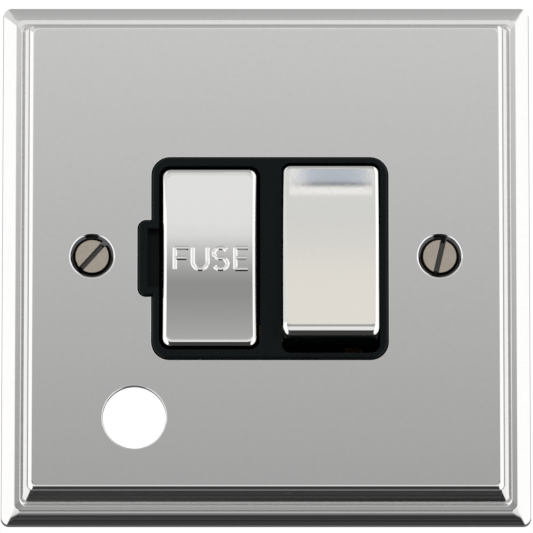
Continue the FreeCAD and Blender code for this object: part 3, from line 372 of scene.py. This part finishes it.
def edgeStations(sizes):
    # (inset from the lip, forward) up the moulded edge, with the swells finely stepped
    def swell(start, width, rise, steps, begin=0, end=90, concave=False):
        turns = [math.radians(begin + (end - begin) * k / steps) for k in range(steps + 1)]
        first, last = turns[0], turns[-1]
        if concave:
            return [(start[0] + width * math.sin(t), start[1] + rise * (1 - math.cos(t))) for t in turns[1:]]
        across, up = width / (math.cos(first) - math.cos(last)), rise / (math.sin(last) - math.sin(first))
        return [(start[0] + across * (math.cos(first) - math.cos(t)), start[1] + up * (math.sin(t) - math.sin(first)))
                for t in turns[1:]]

    def ease(start, width, rise, steps=3):
        return [(start[0] + width * k / steps, start[1] + rise * k / steps) for k in range(1, steps + 1)]

    path = [(0.0, 0.0)]
    path += ease(path[-1], *sizes["lip"])
    path += swell(path[-1], *sizes["ovolo"], 18, *sizes["ovoloTurns"])
    path += ease(path[-1], *sizes["quirk"], 2)
    path += ease(path[-1], *sizes["ledge"], 4)
    path += ease(path[-1], *sizes["crease"], 2)
    path += swell(path[-1], *sizes["cove"], 8, concave=True)
    path += ease(path[-1], sizes["riser"], sizes["face"] - sizes["roll"][1] - path[-1][1], 6)
    path += swell(path[-1], *sizes["roll"], 18)
    return path


def insertOutline(grow, bend=8):
    # the rectangle with its tab on the left, grown outwards by this much
    left = insert["x"] - insert["width"] / 2 - grow
    right = insert["x"] + insert["width"] / 2 + grow
    low, high = insert["z"] - insert["height"] / 2 - grow, insert["z"] + insert["height"] / 2 + grow
    tabLeft = left - insert["tabWidth"]
    tabLow, tabHigh = insert["z"] - insert["tabHeight"] / 2 - grow, insert["z"] + insert["tabHeight"] / 2 + grow
    radius, tabRadius = insert["corner"] + grow, insert["tabCorner"] + grow
    points = []

    def bendAt(cx, cz, r, start):
        for k in range(bend + 1):
            turn = math.radians(start + 90 * k / bend)
            points.append((cx + r * math.cos(turn), cz + r * math.sin(turn)))

    bendAt(right - radius, low + radius, radius, -90)
    bendAt(right - radius, high - radius, radius, 0)
    bendAt(left + radius, high - radius, radius, 90)
    points.append((left, tabHigh))
    bendAt(tabLeft + tabRadius, tabHigh - tabRadius, tabRadius, 90)
    bendAt(tabLeft + tabRadius, tabLow + tabRadius, tabRadius, 180)
    points.append((left, tabLow))
    bendAt(left + radius, low + radius, radius, 180)
    return points


def makePlate(sizes):
    shell = Shell()
    stations = edgeStations(sizes)
    fullInset = stations[-1][0]

    def squareRing(inset, wall, forward):
        # once round the plate, with the corner radius that goes with this inset
        radius = sizes["corner"] + (sizes["faceCorner"] - sizes["corner"]) * inset / fullInset
        half = sizes["side"] / 2 - wall - inset
        return shell.ring(roundedRect(0, 0, half, half, radius), forward)

    outer = [squareRing(inset, 0, forward) for inset, forward in stations]
    hollow = [(stations[0][0], sizes["sheet"])] + [s for s in stations if s[1] > sizes["sheet"]]
    inner = [squareRing(inset, sizes["rimWall"], forward - sizes["sheet"]) for inset, forward in hollow]
    shell.bridgeAll(outer)
    shell.bridgeAll(inner)
    shell.bridge(outer[0], inner[0])
    face, back = sizes["face"], sizes["face"] - sizes["sheet"]
    holesFront, holesBack = [], []

    def punch(outlineAt):
        # a hole with a small round at its front edge; outlineAt(grow) gives its outline
        r, steps = sizes["edgeRound"], sizes["roundSteps"]
        rings = []
        for k in range(steps + 1):
            turn = math.pi / 2 * k / steps
            rings.append(shell.ring(outlineAt(r * (1 - math.sin(turn))), face - r * (1 - math.cos(turn))))
        rings.append(shell.ring(outlineAt(0), back))
        shell.bridgeAll(rings)
        holesFront.append(rings[0])
        holesBack.append(rings[-1])

    punch(insertOutline)
    punch(lambda grow: circlePoints(sizes["flexX"], sizes["flexZ"], sizes["flexRadius"] + grow))
    for sideSign in (-1, 1):
        x, mouth, hole = sideSign * sizes["screwX"], sizes["dishMouth"], sizes["dishHole"]
        depth = mouth - hole
        rings, r = [], sizes["dishRound"]
        slope, bends = math.radians(sizes["dishSlope"]), sizes["dishBends"]
        for k in range(bends + 1):
            turn = slope * k / bends
            reach = mouth + r * math.tan(slope / 2) - r * math.sin(turn)
            rings.append(shell.ring(circlePoints(x, 0, reach), face - r * (1 - math.cos(turn))))
        bevel = sizes["holeBevel"]
        rings.append(shell.ring(circlePoints(x, 0, hole + bevel), face - depth + bevel))
        rings.append(shell.ring(circlePoints(x, 0, hole), face - depth))
        rings.append(shell.ring(circlePoints(x, 0, hole), face - depth - sizes["sheet"]))
        rings.append(shell.ring(circlePoints(x, 0, hole + sizes["sheet"]), face - depth - sizes["sheet"]))
        rings.append(shell.ring(circlePoints(x, 0, mouth + sizes["sheet"]), back))
        shell.bridgeAll(rings)
        holesFront.append(rings[0])
        holesBack.append(rings[-1])
    shell.fill([outer[-1]] + holesFront)
    shell.fill([inner[-1]] + holesBack)
    return shell.build("steppedPlate")


def inDishShade(tree, x, y, z):
    # painted shade: the plating is painted darker inside the dished screw holes, standing in for the shade that falls
    # there
    aside = calc(tree, "SUBTRACT", calc(tree, "ABSOLUTE", x), plateSizes["screwX"] * mm)
    reach = vectorCalc(tree, "LENGTH", vector(tree, aside, 0.0, z))
    edge, soft = plateSizes["dishMouth"] - plateSizes["dishShadeSoft"], plateSizes["dishShadeSoft"]
    return mapped(tree, reach, edge * mm, (edge - soft) * mm)


plate = makePlate(plateSizes)
# painted shade in the screw dishes of the plate
shade(plateChrome, plateSizes["dishShadeTone"], inDishShade)
giveMaterial(plate, plateChrome)
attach(plate, "frame")
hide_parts("front_plate")
print("plate made")


# Fuse cover: a shallow crowned cap with rounded edges, and its raised word

coverSizes = {"x": -9.75, "halfW": 8.55, "halfH": 16.0, "corner": 1.7, "round": 0.95, "rim": 8.7, "draft": 0.25,
              "edge": 11.2, "crown": 0.7, "wall": 1.0, "top": 10.2, "cornerShare": 0.6, "leastCorner": 0.5,
              "outlineSteps": (8, 40), "roundSteps": 10, "faceInset": 0.4}


def makeCover(sizes):
    shell = Shell()
    middle = insert["z"]

    def crown(z):
        share = (z - middle) / sizes["halfH"]
        return sizes["crown"] * (1 - share * share)

    def outline(inset):
        return roundedRect(sizes["x"], middle, sizes["halfW"] - inset, sizes["halfH"] - inset,
                           max(sizes["corner"] - inset * sizes["cornerShare"], sizes["leastCorner"]),
                           *sizes["outlineSteps"])

    rings = [shell.ring(outline(0), sizes["rim"]), shell.ring(outline(sizes["draft"]), sizes["edge"] - sizes["round"])]
    for inset, forward in rounding(sizes["edge"] - sizes["round"], sizes["round"], sizes["roundSteps"]):
        lift = (forward - sizes["edge"] + sizes["round"]) / sizes["round"]
        rings.append(shell.ring(outline(sizes["draft"] + inset), lambda x, z, f=forward, s=lift: f + s * crown(z)))
    level = outline(sizes["draft"] + sizes["round"] + sizes["faceInset"])
    rings.append(shell.ring(level, lambda x, z: sizes["edge"] + crown(z)))
    shell.bridgeAll(rings)
    shell.strips(rings[-1])
    inner = [shell.ring(outline(sizes["wall"]), sizes["rim"]), shell.ring(outline(sizes["wall"]), sizes["top"])]
    shell.bridgeAll(inner)
    shell.strips(inner[-1])
    shell.bridge(rings[0], inner[0])
    return shell.build("fuseCap")


cover = makeCover(coverSizes)
giveMaterial(cover, smallChrome)
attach(cover, "fuse_drawer")
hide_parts("fuse_cover")

wordSizes = {"high": 1.0, "low": -2.72, "stroke": 0.42, "proud": 0.3, "barRaise": 0.1, "fShort": 0.3, "eShort": 0.2,
             "F": (-15.78, -13.45), "U": (-12.68, -10.1), "S": (-9.05, -6.65), "E": (-5.3, -3.15)}


def letterStrokes(sizes):
    # the centre lines of the four letters, as (x, z) paths
    high, low = sizes["high"], sizes["low"]
    middle = (high + low) / 2 + sizes["barRaise"]
    (fLeft, fRight), (uLeft, uRight), (sLeft, sRight), (eLeft, eRight) = (sizes[letter] for letter in "FUSE")
    paths = [[(fLeft, low), (fLeft, high)], [(fLeft, high), (fRight, high)],
             [(fLeft, middle), (fRight - sizes["fShort"], middle)]]

    def arc(x, z, wide, tall, degrees):
        return [(x + wide * math.cos(math.radians(a)), z + tall * math.sin(math.radians(a))) for a in degrees]

    bowl = (uRight - uLeft) / 2
    paths.append([(uLeft, high)] + arc(uLeft + bowl, low + bowl, bowl, bowl, range(180, 361, 15)) + [(uRight, high)])
    centre, wide, loop = (sLeft + sRight) / 2, (sRight - sLeft) / 2, (high - low) / 4
    paths.append(arc(centre, high - loop, wide, loop, range(30, 271, 20))
                 + arc(centre, low + loop, wide, loop, range(70, -151, -20)))
    paths += [[(eLeft, low), (eLeft, high)], [(eLeft, high), (eRight, high)],
              [(eLeft, middle), (eRight - sizes["eShort"], middle)], [(eLeft, low), (eRight, low)]]
    return paths


def makeWord(sizes):
    # rounded strokes, sunk so far that they stand a little proud of the crowned cap
    curve = bpy.data.curves.new("word", "CURVE")
    curve.dimensions = "3D"
    curve.bevel_depth = sizes["stroke"] * mm
    curve.bevel_resolution = 6
    curve.use_fill_caps = True
    deep = sizes["proud"] - sizes["stroke"]
    for path in letterStrokes(sizes):
        spline = curve.splines.new("POLY")
        spline.points.add(len(path) - 1)
        for point, (x, z) in zip(spline.points, path):
            share = (z - insert["z"]) / coverSizes["halfH"]
            forward = coverSizes["edge"] + coverSizes["crown"] * (1 - share * share) + deep
            point.co = (x * mm, -forward * mm, z * mm, 1)
            point.radius = 1.0
    holder = addObject("word", curve)
    mesh = evaluatedMesh(holder)
    bpy.data.objects.remove(holder)
    cleanMesh(mesh, sharpAngle=180, smooth=False)
    return addObject("raisedWord", mesh)


word = makeWord(wordSizes)
giveMaterial(word, smallChrome)
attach(word, "fuse_drawer")
print("fuse cover made")


# Rocker cap: slightly hollow face, rounded edges, tipped with its lower end out

rockerSizes = {"x": 11.25, "halfW": 8.3, "pivot": 4.4, "swing": 7.0, "faceHalf": 15.3, "face": 8.9, "dish": 0.3,
               "skirtHalf": 16.1, "skirt": 2.3, "corner": 1.3, "round": 0.75, "wall": 1.1,
               "lowBends": ((0, 12, 0.25), (12, 24, 0.9), (24, 90, 1.15)), "bendSteps": 12, "cornerShare": 0.5,
               "leastCorner": 0.45, "outlineSteps": (8, 40), "faceInset": 0.4}


def makeRocker(sizes):
    shell = Shell()

    def drop(z):
        share = z / sizes["faceHalf"]
        return sizes["dish"] * (1 - share * share)

    def outline(inset, lowInset, rise):
        share = min(max((rise - sizes["skirt"]) / (sizes["face"] - sizes["skirt"]), 0), 1)
        half = sizes["skirtHalf"] + (sizes["faceHalf"] - sizes["skirtHalf"]) * share
        return roundedRect(sizes["x"], (lowInset - inset) / 2, sizes["halfW"] - inset,
                           half - (inset + lowInset) / 2,
                           max(sizes["corner"] - inset * sizes["cornerShare"], sizes["leastCorner"]),
                           *sizes["outlineSteps"])

    # the lower edge bends away from the face: first tightly, then over a broad band, then round to the skirt
    across, down, stations, steps = 0.0, 0.0, [(0.0, 0.0)], sizes["bendSteps"]
    for first, last, length in sizes["lowBends"]:
        for k in range(steps):
            lean = math.radians(first + (last - first) * (k + 0.5) / steps)
            across += length / steps * math.cos(lean)
            down += length / steps * math.sin(lean)
            stations.append((across, down))
    lowWidth, base, side = across, sizes["face"] - down, sizes["round"]
    rings = [shell.ring(outline(0, 0, sizes["skirt"]), sizes["skirt"]), shell.ring(outline(0, 0, base), base)]
    for across, down in reversed(stations[:-1]):
        rise = sizes["face"] - down
        lift = max(1 - down / side, 0)
        sideInset = side * (1 - math.sqrt(1 - lift * lift))
        rings.append(shell.ring(outline(sideInset, lowWidth - across, rise),
                                lambda x, z, f=rise, s=lift: f - s * drop(z)))
    level = outline(side + sizes["faceInset"], lowWidth + sizes["faceInset"], sizes["face"])
    rings.append(shell.ring(level, lambda x, z: sizes["face"] - drop(z)))
    shell.bridgeAll(rings)
    shell.strips(rings[-1])
    top = sizes["face"] - sizes["wall"]
    inner = [shell.ring(outline(sizes["wall"], sizes["wall"], sizes["skirt"]), sizes["skirt"]),
             shell.ring(outline(sizes["wall"], lowWidth, top), top - sizes["dish"])]
    shell.bridgeAll(inner)
    shell.strips(inner[-1])
    shell.bridge(rings[0], inner[0])
    tip = Matrix.Translation((0, -sizes["pivot"] * mm, insert["z"] * mm)) @ Matrix.Rotation(
        math.radians(-sizes["swing"]), 4, "X")
    return shell.build("rockerCap", tip)


rocker = makeRocker(rockerSizes)
giveMaterial(rocker, smallChrome)
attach(rocker, "rocker")
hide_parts("rocker_cap")
print("rocker made")


# Slotted screws and studs: one node tree makes the head, slot and thread and sets a copy on each point

def makeScrewTree():
    tree = bpy.data.node_groups.new("slottedScrew", "GeometryNodeTree")

    def socket(label, kind, way="INPUT"):
        tree.interface.new_socket(label, in_out=way, socket_type="NodeSocket" + kind)

    socket("Geometry", "Geometry")
    for label in ("Head Radius", "Head Height", "Head Bevel", "Under Slope", "Core Radius", "Thread Depth",
                  "Thread Start", "Pitch", "Length", "Tip", "Slot Width", "Slot Depth", "Slot Lip"):
        socket(label, "Float")
    for label in ("Sides", "Rings"):
        socket(label, "Int")
    socket("Slotted", "Bool")
    socket("Material", "Material")
    socket("Geometry", "Geometry", "OUTPUT")
    source = addNode(tree, "NodeGroupInput").outputs

    def work(*terms):
        return calc(tree, *terms)

    def geometry(kind, feeds, output="Geometry", **settings):
        return addNode(tree, "GeometryNode" + kind, feeds, **settings).outputs[output]

    length, headRadius, pitch = source["Length"], source["Head Radius"], source["Pitch"]
    rod = geometry("MeshCylinder", {"Vertices": source["Sides"], "Side Segments": source["Rings"], "Radius": 1.0,
                                    "Depth": length}, "Mesh")
    x, y, z = split(tree, addNode(tree, "GeometryNodeInputPosition").outputs["Position"])
    turn = work("ARCTAN2", y, x)
    down = work("SUBTRACT", work("MULTIPLY", length, 0.5), z)
    # head, the slope or step under it, and the core
    under = work("MULTIPLY", work("MAXIMUM", work("SUBTRACT", down, source["Head Height"]), 0.0), source["Under Slope"])
    body = work("MAXIMUM", work("SUBTRACT", headRadius, under), source["Core Radius"])
    bevel = work("MAXIMUM", work("SUBTRACT", source["Head Bevel"], down), 0.0)
    # the thread rises and falls once in each pitch, turning as it goes
    phase = work("FRACT", work("ADD", work("DIVIDE", down, pitch), work("DIVIDE", turn, math.tau)))
    ridge = work("SUBTRACT", 1.0, work("ABSOLUTE", work("SUBTRACT", work("MULTIPLY", phase, 2.0), 1.0)))
    begun = work("DIVIDE", work("SUBTRACT", down, source["Thread Start"]), pitch)
    begun = work("MINIMUM", work("MAXIMUM", begun, 0.0), 1.0)
    thread = work("MULTIPLY", work("MULTIPLY", ridge, begun), source["Thread Depth"])
    tip = work("MAXIMUM", work("SUBTRACT", down, work("SUBTRACT", length, source["Tip"])), 0.0)
    reach = work("SUBTRACT", work("SUBTRACT", work("ADD", body, thread), bevel), tip)
    shape = geometry("SetPosition", {"Geometry": rod, "Position": vector(
        tree, work("MULTIPLY", work("COSINE", turn), reach), work("MULTIPLY", work("SINE", turn), reach),
        work("MULTIPLY", down, -1.0))})
    # the slot, and a turned bar that takes off its lips
    across = work("MULTIPLY", headRadius, 3.0)
    slotSize = vector(tree, across, source["Slot Width"], work("MULTIPLY", source["Slot Depth"], 2.0))
    lipReach = work("ADD", work("MULTIPLY", source["Slot Width"], 0.5), source["Slot Lip"])
    lipSide = work("MULTIPLY", lipReach, math.sqrt(2))
    slot = geometry("MeshCube", {"Size": slotSize}, "Mesh")
    lip = geometry("MeshCube", {"Size": vector(tree, across, lipSide, lipSide)}, "Mesh")
    cut = shape
    for cutter in (slot, geometry("Transform", {"Geometry": lip, "Rotation": (math.pi / 4, 0, 0)})):
        cut = geometry("MeshBoolean", {"Mesh 1": cut, "Mesh 2": cutter}, "Mesh", operation="DIFFERENCE", solver="EXACT")
    choice = geometry("Switch", {"Switch": source["Slotted"], "False": shape, "True": cut}, "Output",
                      input_type="GEOMETRY")
    turns = geometry("InputNamedAttribute", {"Name": "turn"}, "Attribute", data_type="FLOAT_VECTOR")
    asTurn = addNode(tree, "FunctionNodeEulerToRotation", {"Euler": turns}).outputs["Rotation"]
    copies = geometry("InstanceOnPoints", {"Points": source["Geometry"], "Instance": choice, "Rotation": asTurn},
                      "Instances")
    real = geometry("RealizeInstances", {"Geometry": copies})
    finish = geometry("SetMaterial", {"Geometry": real, "Material": source["Material"]})
    addNode(tree, "NodeGroupOutput", {"Geometry": finish})
    return tree


screwTree = makeScrewTree()
screwSockets = {item.name: item.identifier for item in screwTree.interface.items_tree if item.in_out == "INPUT"}
panHead = {"Head Bevel": 0.22, "Under Slope": 40.0, "Tip": 0.3, "Slot Depth": 0.8, "Slot Lip": 0.06}
m25Screw = {"Head Radius": 2.09, "Head Height": 1.7, "Core Radius": 1.0, "Thread Depth": 0.24,
            "Thread Start": 1.75, "Pitch": 0.45, "Slot Width": 0.5}
m3Screw = {"Head Radius": 2.29, "Head Height": 1.6, "Core Radius": 1.2, "Thread Depth": 0.28,
           "Thread Start": 1.65, "Pitch": 0.5, "Slot Width": 0.52}
screwLooks = {
    "fixing_screws": {
        "piece": "fixingScrews", "material": nickel, "slot": "nickel_screws", "sides": 48, "rings": 400,
        "spots": [(-30.15, -9.55, 0.0), (30.15, -9.55, 0.0)], "turns": [(90, -48, 0), (90, -77, 0)],
        "sizes": {"Head Radius": 2.94, "Head Height": 0.5, "Head Bevel": 0.09, "Under Slope": 1.0,
                  "Core Radius": 1.43, "Thread Depth": 0.31, "Thread Start": 3.05, "Pitch": 0.6, "Length": 30.0,
                  "Tip": 0.4, "Slot Width": 0.9, "Slot Depth": 0.9, "Slot Lip": 0.05}},
    "case_screws": {
        "piece": "caseScrews", "sides": 32, "rings": 260, "sizes": {**m25Screw, "Length": 18.0},
        "spots": [(x, 19.0, z) for x in (-20.4, 21.8) for z in (-12.45, 11.55)]},
    "terminal_screws": {
        "piece": "terminalScrews", "sides": 36, "rings": 60, "sizes": {**m3Screw, "Length": 3.25},
        "spots": [(7.05, 20.0, 13.05), (15.45, 20.0, 13.05), (-9.75, 20.0, 13.05), (15.45, 20.0, -13.95)]},
    "earth_screw": {
        "piece": "earthScrew", "sides": 36, "rings": 56, "sizes": {**m3Screw, "Length": 2.8},
        "spots": [(22.0, -0.7, -31.0)]},
    "cord_grip_screws": {
        "piece": "cordGripScrews", "sides": 32, "rings": 180, "sizes": {**m25Screw, "Length": 11.84},
        "spots": [(-8.0, 3.1, -36.0), (-8.0, 3.1, -24.0)]},
    "plate_studs": {
        "piece": "plateStuds", "sides": 36, "rings": 110, "slotted": False,
        "spots": [(-11.3, -1.8, 21.55), (12.7, -1.8, -22.45)],
        "sizes": {"Head Radius": 1.22, "Head Height": 0.0, "Head Bevel": 0.25, "Core Radius": 1.22,
                  "Thread Depth": 0.27, "Thread Start": 0.0, "Pitch": 0.5, "Length": 7.0, "Tip": 0.0}},
}


def makeScrews(nodeName, look):
    mesh = bpy.data.meshes.new(look["piece"])
    mesh.from_pydata([tuple(v * mm for v in spot) for spot in look["spots"]], [], [])
    turns = mesh.attributes.new("turn", "FLOAT_VECTOR", "POINT")
    for item, angles in zip(turns.data, look.get("turns", [(-90, 0, 0)] * len(look["spots"]))):
        item.vector = [math.radians(angle) for angle in angles]
    screws = addObject(look["piece"], mesh)
    modifier = screws.modifiers.new("screws", "NODES")
    modifier.node_group = screwTree
    for label, value in {**panHead, **look["sizes"]}.items():
        modifier[screwSockets[label]] = float(value if label == "Under Slope" else value * mm)
    material = look.get("material", zinc)
    for label, value in (("Sides", look["sides"]), ("Rings", look["rings"]), ("Slotted", look.get("slotted", True)),
                         ("Material", material)):
        modifier[screwSockets[label]] = value
    screws.data = evaluatedMesh(screws)
    screws.modifiers.clear()
    cleanMesh(screws.data, sharpAngle=30, smooth=True)
    giveMaterial(screws, material)
    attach(screws, "frame")
    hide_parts(nodeName)


# level, soft edge and tone of the painted shade in the fixing screws' slots
slotShade = {"level": 9.3, "soft": 0.12, "tone": (0.09, 0.088, 0.085)}


def inSlotShade(tree, x, y, z):
    # painted shade: behind this level a fixing screw is painted dark, standing in for the shade in its slot
    level, soft = slotShade["level"], slotShade["soft"]
    return mapped(tree, y, -level * mm, -(level - soft) * mm)


for nodeName, look in screwLooks.items():
    makeScrews(nodeName, look)
# painted shade on the fixing screws' slot floors
shade(nickel, slotShade["tone"], inSlotShade)
print("screws made")


# Springs of the plungers: round wire with closed end coils

springSizes = {"live": 7.05, "neutral": 15.45, "pivot": (-4.4, -0.45), "lean": 7.0, "floor": -5.0, "mouth": 2.4,
               "gap": 0.06, "wire": 0.5, "across": 3.0, "pitch": 1.6, "closed": 0.54, "endTurns": 1.25,
               "steps": 24, "sides": 12, "travel": 0.8}


def makeSpring(pole, sizes):
    lean, half = math.radians(sizes["lean"]), sizes["wire"] / 2
    along = Vector((0, math.cos(lean), -math.sin(lean)))
    aside = Vector((0, math.sin(lean), math.cos(lean)))
    centre = Vector((sizes[pole], *sizes["pivot"]))
    low, high = sizes["floor"] + sizes["gap"], sizes["mouth"] - sizes["gap"]
    reach = high - low - sizes["wire"]
    ends = sizes["endTurns"]
    turns = 2 * ends + (reach - 2 * ends * sizes["closed"]) / sizes["pitch"]
    count = round(turns * sizes["steps"])
    rises = [sizes["pitch"] if ends < k * turns / count < turns - ends else sizes["closed"] for k in range(count)]
    shell, rings = Shell(), []
    for k in range(count + 1):
        turn = math.tau * k / sizes["steps"]
        outward = Vector((math.cos(turn), 0, 0)) + aside * math.sin(turn)
        core = centre + along * (low + half + reach * sum(rises[:k]) / sum(rises)) + outward * sizes["across"] / 2
        start = len(shell.points)
        for side in range(sizes["sides"]):
            around = math.tau * side / sizes["sides"]
            shell.points.append(core + (outward * math.cos(around) + along * math.sin(around)) * half)
        rings.append(list(range(start, len(shell.points))))
    shell.bridgeAll(rings)
    for ring in (rings[0], rings[-1]):
        shell.faces.append(tuple(ring))
        shell.flat.append(True)
    spring = shell.build("spring" + pole.capitalize(), sharpAngle=60)
    giveMaterial(spring, springSteel)
    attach(spring, "rocker")
    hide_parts("spring_" + pole)
    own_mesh(spring)


for pole in ("live", "neutral"):
    makeSpring(pole, springSizes)
print("springs made")


# The rest of the unit keeps its solids and gets its finishes

finishes = {
    "front_housing": blackMoulding, "fuse_carrier": blackMoulding, "rocker_body": blackMoulding,
    "base_moulding": rearMoulding, "cord_saddle": rearMoulding, "cord_grip_bar": rearMoulding,
    "plunger_live": nylon, "plunger_neutral": nylon, "fixing_screws": nickel,
    "case_screws": zinc, "cord_grip_screws": zinc, "plate_studs": zinc, "stud_nuts": zinc,
    "terminal_screws": zinc, "earth_screw": zinc, "spring_live": springSteel, "spring_neutral": springSteel,
    "fuse_cap_upper": fuseCapMetal, "fuse_cap_lower": fuseCapMetal, "fuse_tube": ceramic,
}
for nodeName in nodes:
    dressNode(nodeName, finishes.get(nodeName, brass))
print("solids dressed")


# Floor, studio light and camera

studio = {"distance": 1.75, "sensor": 36.0, "elevation": -11.5, "aim": (0.0001, -0.010, -0.0019), "fill": 0.0924,
          "floorDrop": 0.6, "floorRadius": 3.0, "floorTone": (0.9, 0.9, 0.9), "floorRough": 0.9,
          "sideFrom": 0.30, "sideTo": 0.46, "backFrom": 0.25, "backTo": 0.55,
          "sideTone": 1.15, "sideLow": 0.78, "lampPitch": 38.0, "lampSide": 0.5, "lampSize": 0.25, "soft": 0.75,
          "streakStretch": (2.0, 9.0), "streakTone": 0.10, "streakShare": (0.45, 0.75), "streakPitch": (-150, -36, 4),
          "dimHeight": (0.285, 2.0, 0.02), "lampTone": (3, 3, 3), "lampSoft": 1.6}

# place, width and power of each lamp
lamps = {"upperLamp": ((-0.8, -1.2, 1.3), 0.9, 9), "lowerLamp": ((0.9, -1.4, -0.2), 0.9, 5),
         "rearLamp": ((0.3, 1.4, 0.6), 1.0, 6)}

# how bright the studio is in a metal's reflection, by the angle up from straight in front
creamTone, grayTone = (0.83, 0.80, 0.735), (0.71, 0.71, 0.69)
pitchTones = [(-180, 0.17), (-158, 0.12), (-149, 0.045), (-128, 0.035), (-123, 0.50), (-114, 0.50), (-108, 0.03),
              (-42, 0.025), (-31, 0.04), (-25, 0.25), (-20, 0.80), (-4, 0.92), (0, 0.5), (4, 0.38), (7.5, 0.30),
              (9, 0.31), (13, 0.655), (14.5, 0.82), (21.6, 0.84), (22.6, grayTone), (24.5, grayTone), (27, creamTone),
              (31, creamTone), (34, 0.56), (60, 0.48), (120, 0.42), (180, 0.17)]

# a window that shows in the upper end of the rocker: (side from, side to, pitch from, pitch to), and its edges
windowPane = {"glow": (0.0016, 0.0112, 20.6, 23.0), "pane": (0.0034, 0.0101, 21.6, 22.45),
              "sill": (0.0034, 0.0102, 22.42, 22.6), "edge": (0.0003, 0.08)}
windowTones = {"glow": (0.95, 0.94, 0.92), "pane": (0.46, 0.51, 0.58), "sill": (0.10, 0.11, 0.15)}


def makeWorld():
    world = bpy.data.worlds.new("studio")
    bpy.context.scene.world = world
    world.use_nodes = True
    tree = world.node_tree
    tree.nodes.clear()
    way = addNode(tree, "ShaderNodeTexCoord").outputs["Generated"]
    x, y, z = split(tree, way)
    pitch = calc(tree, "ARCTAN2", z, calc(tree, "MULTIPLY", y, -1.0))
    degrees = calc(tree, "DEGREES", pitch)
    ramp = addNode(tree, "ShaderNodeValToRGB", {"Fac": mapped(tree, pitch, -math.pi, math.pi)})
    band = ramp.color_ramp
    while len(band.elements) > 1:
        band.elements.remove(band.elements[-1])
    for index, (angle, tone) in enumerate(pitchTones):
        position = (angle + 180) / 360
        element = band.elements[0] if index == 0 else band.elements.new(position)
        element.position = position
        element.color = (*(tone if isinstance(tone, tuple) else (tone,) * 3), 1)

    def ramped(term, low, high):
        return mapped(tree, term, low, high, curve="SMOOTHSTEP")

    def within(term, low, high, edge):
        # 1 between two values, with soft edges
        return calc(tree, "MULTIPLY", ramped(term, low - edge, low + edge), ramped(term, high + edge, high - edge))

    # soft level streaks in the dark lower part
    stretched = vectorCalc(tree, "MULTIPLY", vector(tree, x, pitch, 0.0), (*studio["streakStretch"], 0))
    streaks = addNode(tree, "ShaderNodeTexNoise", {"Vector": stretched, "Scale": 1.0}).outputs["Fac"]
    streakTone = mapped(tree, streaks, *studio["streakShare"], 0.0, studio["streakTone"])
    lowStreaks = calc(tree, "MULTIPLY", streakTone, within(degrees, *studio["streakPitch"]))
    scenery = vectorCalc(tree, "ADD", ramp.outputs["Color"], lowStreaks)
    edgeSide, edgePitch = windowPane["edge"]
    for part, tone in windowTones.items():
        left, right, low, high = windowPane[part]
        mask = calc(tree, "MULTIPLY", within(x, left, right, edgeSide), within(degrees, low, high, edgePitch))
        scenery = toned(tree, mask, scenery, tone)
    # panels at the sides but not behind, the left one dimmer where it is high up
    beside = ramped(calc(tree, "ABSOLUTE", x), studio["sideFrom"], studio["sideTo"])
    sides = calc(tree, "MULTIPLY", beside, ramped(y, studio["backTo"], studio["backFrom"]))
    dim = calc(tree, "MULTIPLY", calc(tree, "LESS_THAN", x, 0.0), within(z, *studio["dimHeight"]))
    scenery = toned(tree, sides, scenery, mapped(tree, dim, 0.0, 1.0, studio["sideTone"], studio["sideLow"]))
    # a small bright lamp
    turn, rise = math.radians(studio["lampSide"]), math.radians(studio["lampPitch"])
    lampWay = (math.sin(turn) * math.cos(rise), -math.cos(turn) * math.cos(rise), math.sin(rise))
    outer, inner = (math.cos(math.radians(studio["lampSize"] * share)) for share in (studio["lampSoft"], 1.0))
    lamp = mapped(tree, vectorCalc(tree, "DOT_PRODUCT", way, lampWay), outer, inner)
    scenery = toned(tree, lamp, scenery, studio["lampTone"])
    # the floor and the dull surfaces get soft white light, the metals reflect the scenery, the camera sees white
    soft, mirrored, seen = (
        addNode(tree, "ShaderNodeBackground", {"Color": tone, "Strength": strength}).outputs["Background"]
        for tone, strength in (((1, 1, 1, 1), studio["soft"]), (scenery, 1.0), ((1, 1, 1, 1), 1.0)))
    paths = addNode(tree, "ShaderNodeLightPath").outputs
    lit = addNode(tree, "ShaderNodeMixShader", {"Fac": paths["Is Glossy Ray"], 1: soft, 2: mirrored}).outputs["Shader"]
    shown = addNode(tree, "ShaderNodeMixShader", {"Fac": paths["Is Camera Ray"], 1: lit, 2: seen}).outputs["Shader"]
    addNode(tree, "ShaderNodeOutputWorld", {"Surface": shown})


def makeFloor():
    bm = bmesh.new()
    bmesh.ops.create_circle(bm, cap_ends=True, segments=96, radius=studio["floorRadius"])
    mesh = bpy.data.meshes.new("floor")
    bm.to_mesh(mesh)
    bm.free()
    mesh.transform(Matrix.Translation((0, 0, -studio["floorDrop"])))
    floor = addObject("floor", mesh)
    material, _, shader = newMaterial("paleFloor")
    feed(shader, {"Base Color": (*studio["floorTone"], 1), "Roughness": studio["floorRough"]})
    giveMaterial(floor, material)
    floor.visible_glossy = False


def makeLamp(name, place, size, power):
    lamp = bpy.data.lights.new(name, "AREA")
    lamp.shape = "DISK"
    lamp.size = size
    lamp.energy = power
    holder = addObject(name, lamp)
    holder.location = place
    holder.rotation_euler = (-Vector(place)).to_track_quat("-Z", "Y").to_euler()
    holder.visible_glossy = False


def makeCamera():
    lens = bpy.data.cameras.new("camera")
    lens.sensor_width = studio["sensor"]
    lens.lens = studio["sensor"] * studio["distance"] / studio["fill"]
    lens.clip_start, lens.clip_end = 0.01, 50
    camera = addObject("camera", lens)
    tilt = math.radians(studio["elevation"])
    aim = Vector(studio["aim"])
    camera.location = aim + Vector((0, -math.cos(tilt), math.sin(tilt))) * studio["distance"]
    camera.rotation_euler = (aim - camera.location).to_track_quat("-Z", "Y").to_euler()
    bpy.context.scene.camera = camera


makeWorld()
makeFloor()
for lampName, (lampPlace, lampWidth, lampPower) in lamps.items():
    makeLamp(lampName, lampPlace, lampWidth, lampPower)
makeCamera()
bpy.context.scene.view_settings.view_transform = "Standard"
print("studio made")
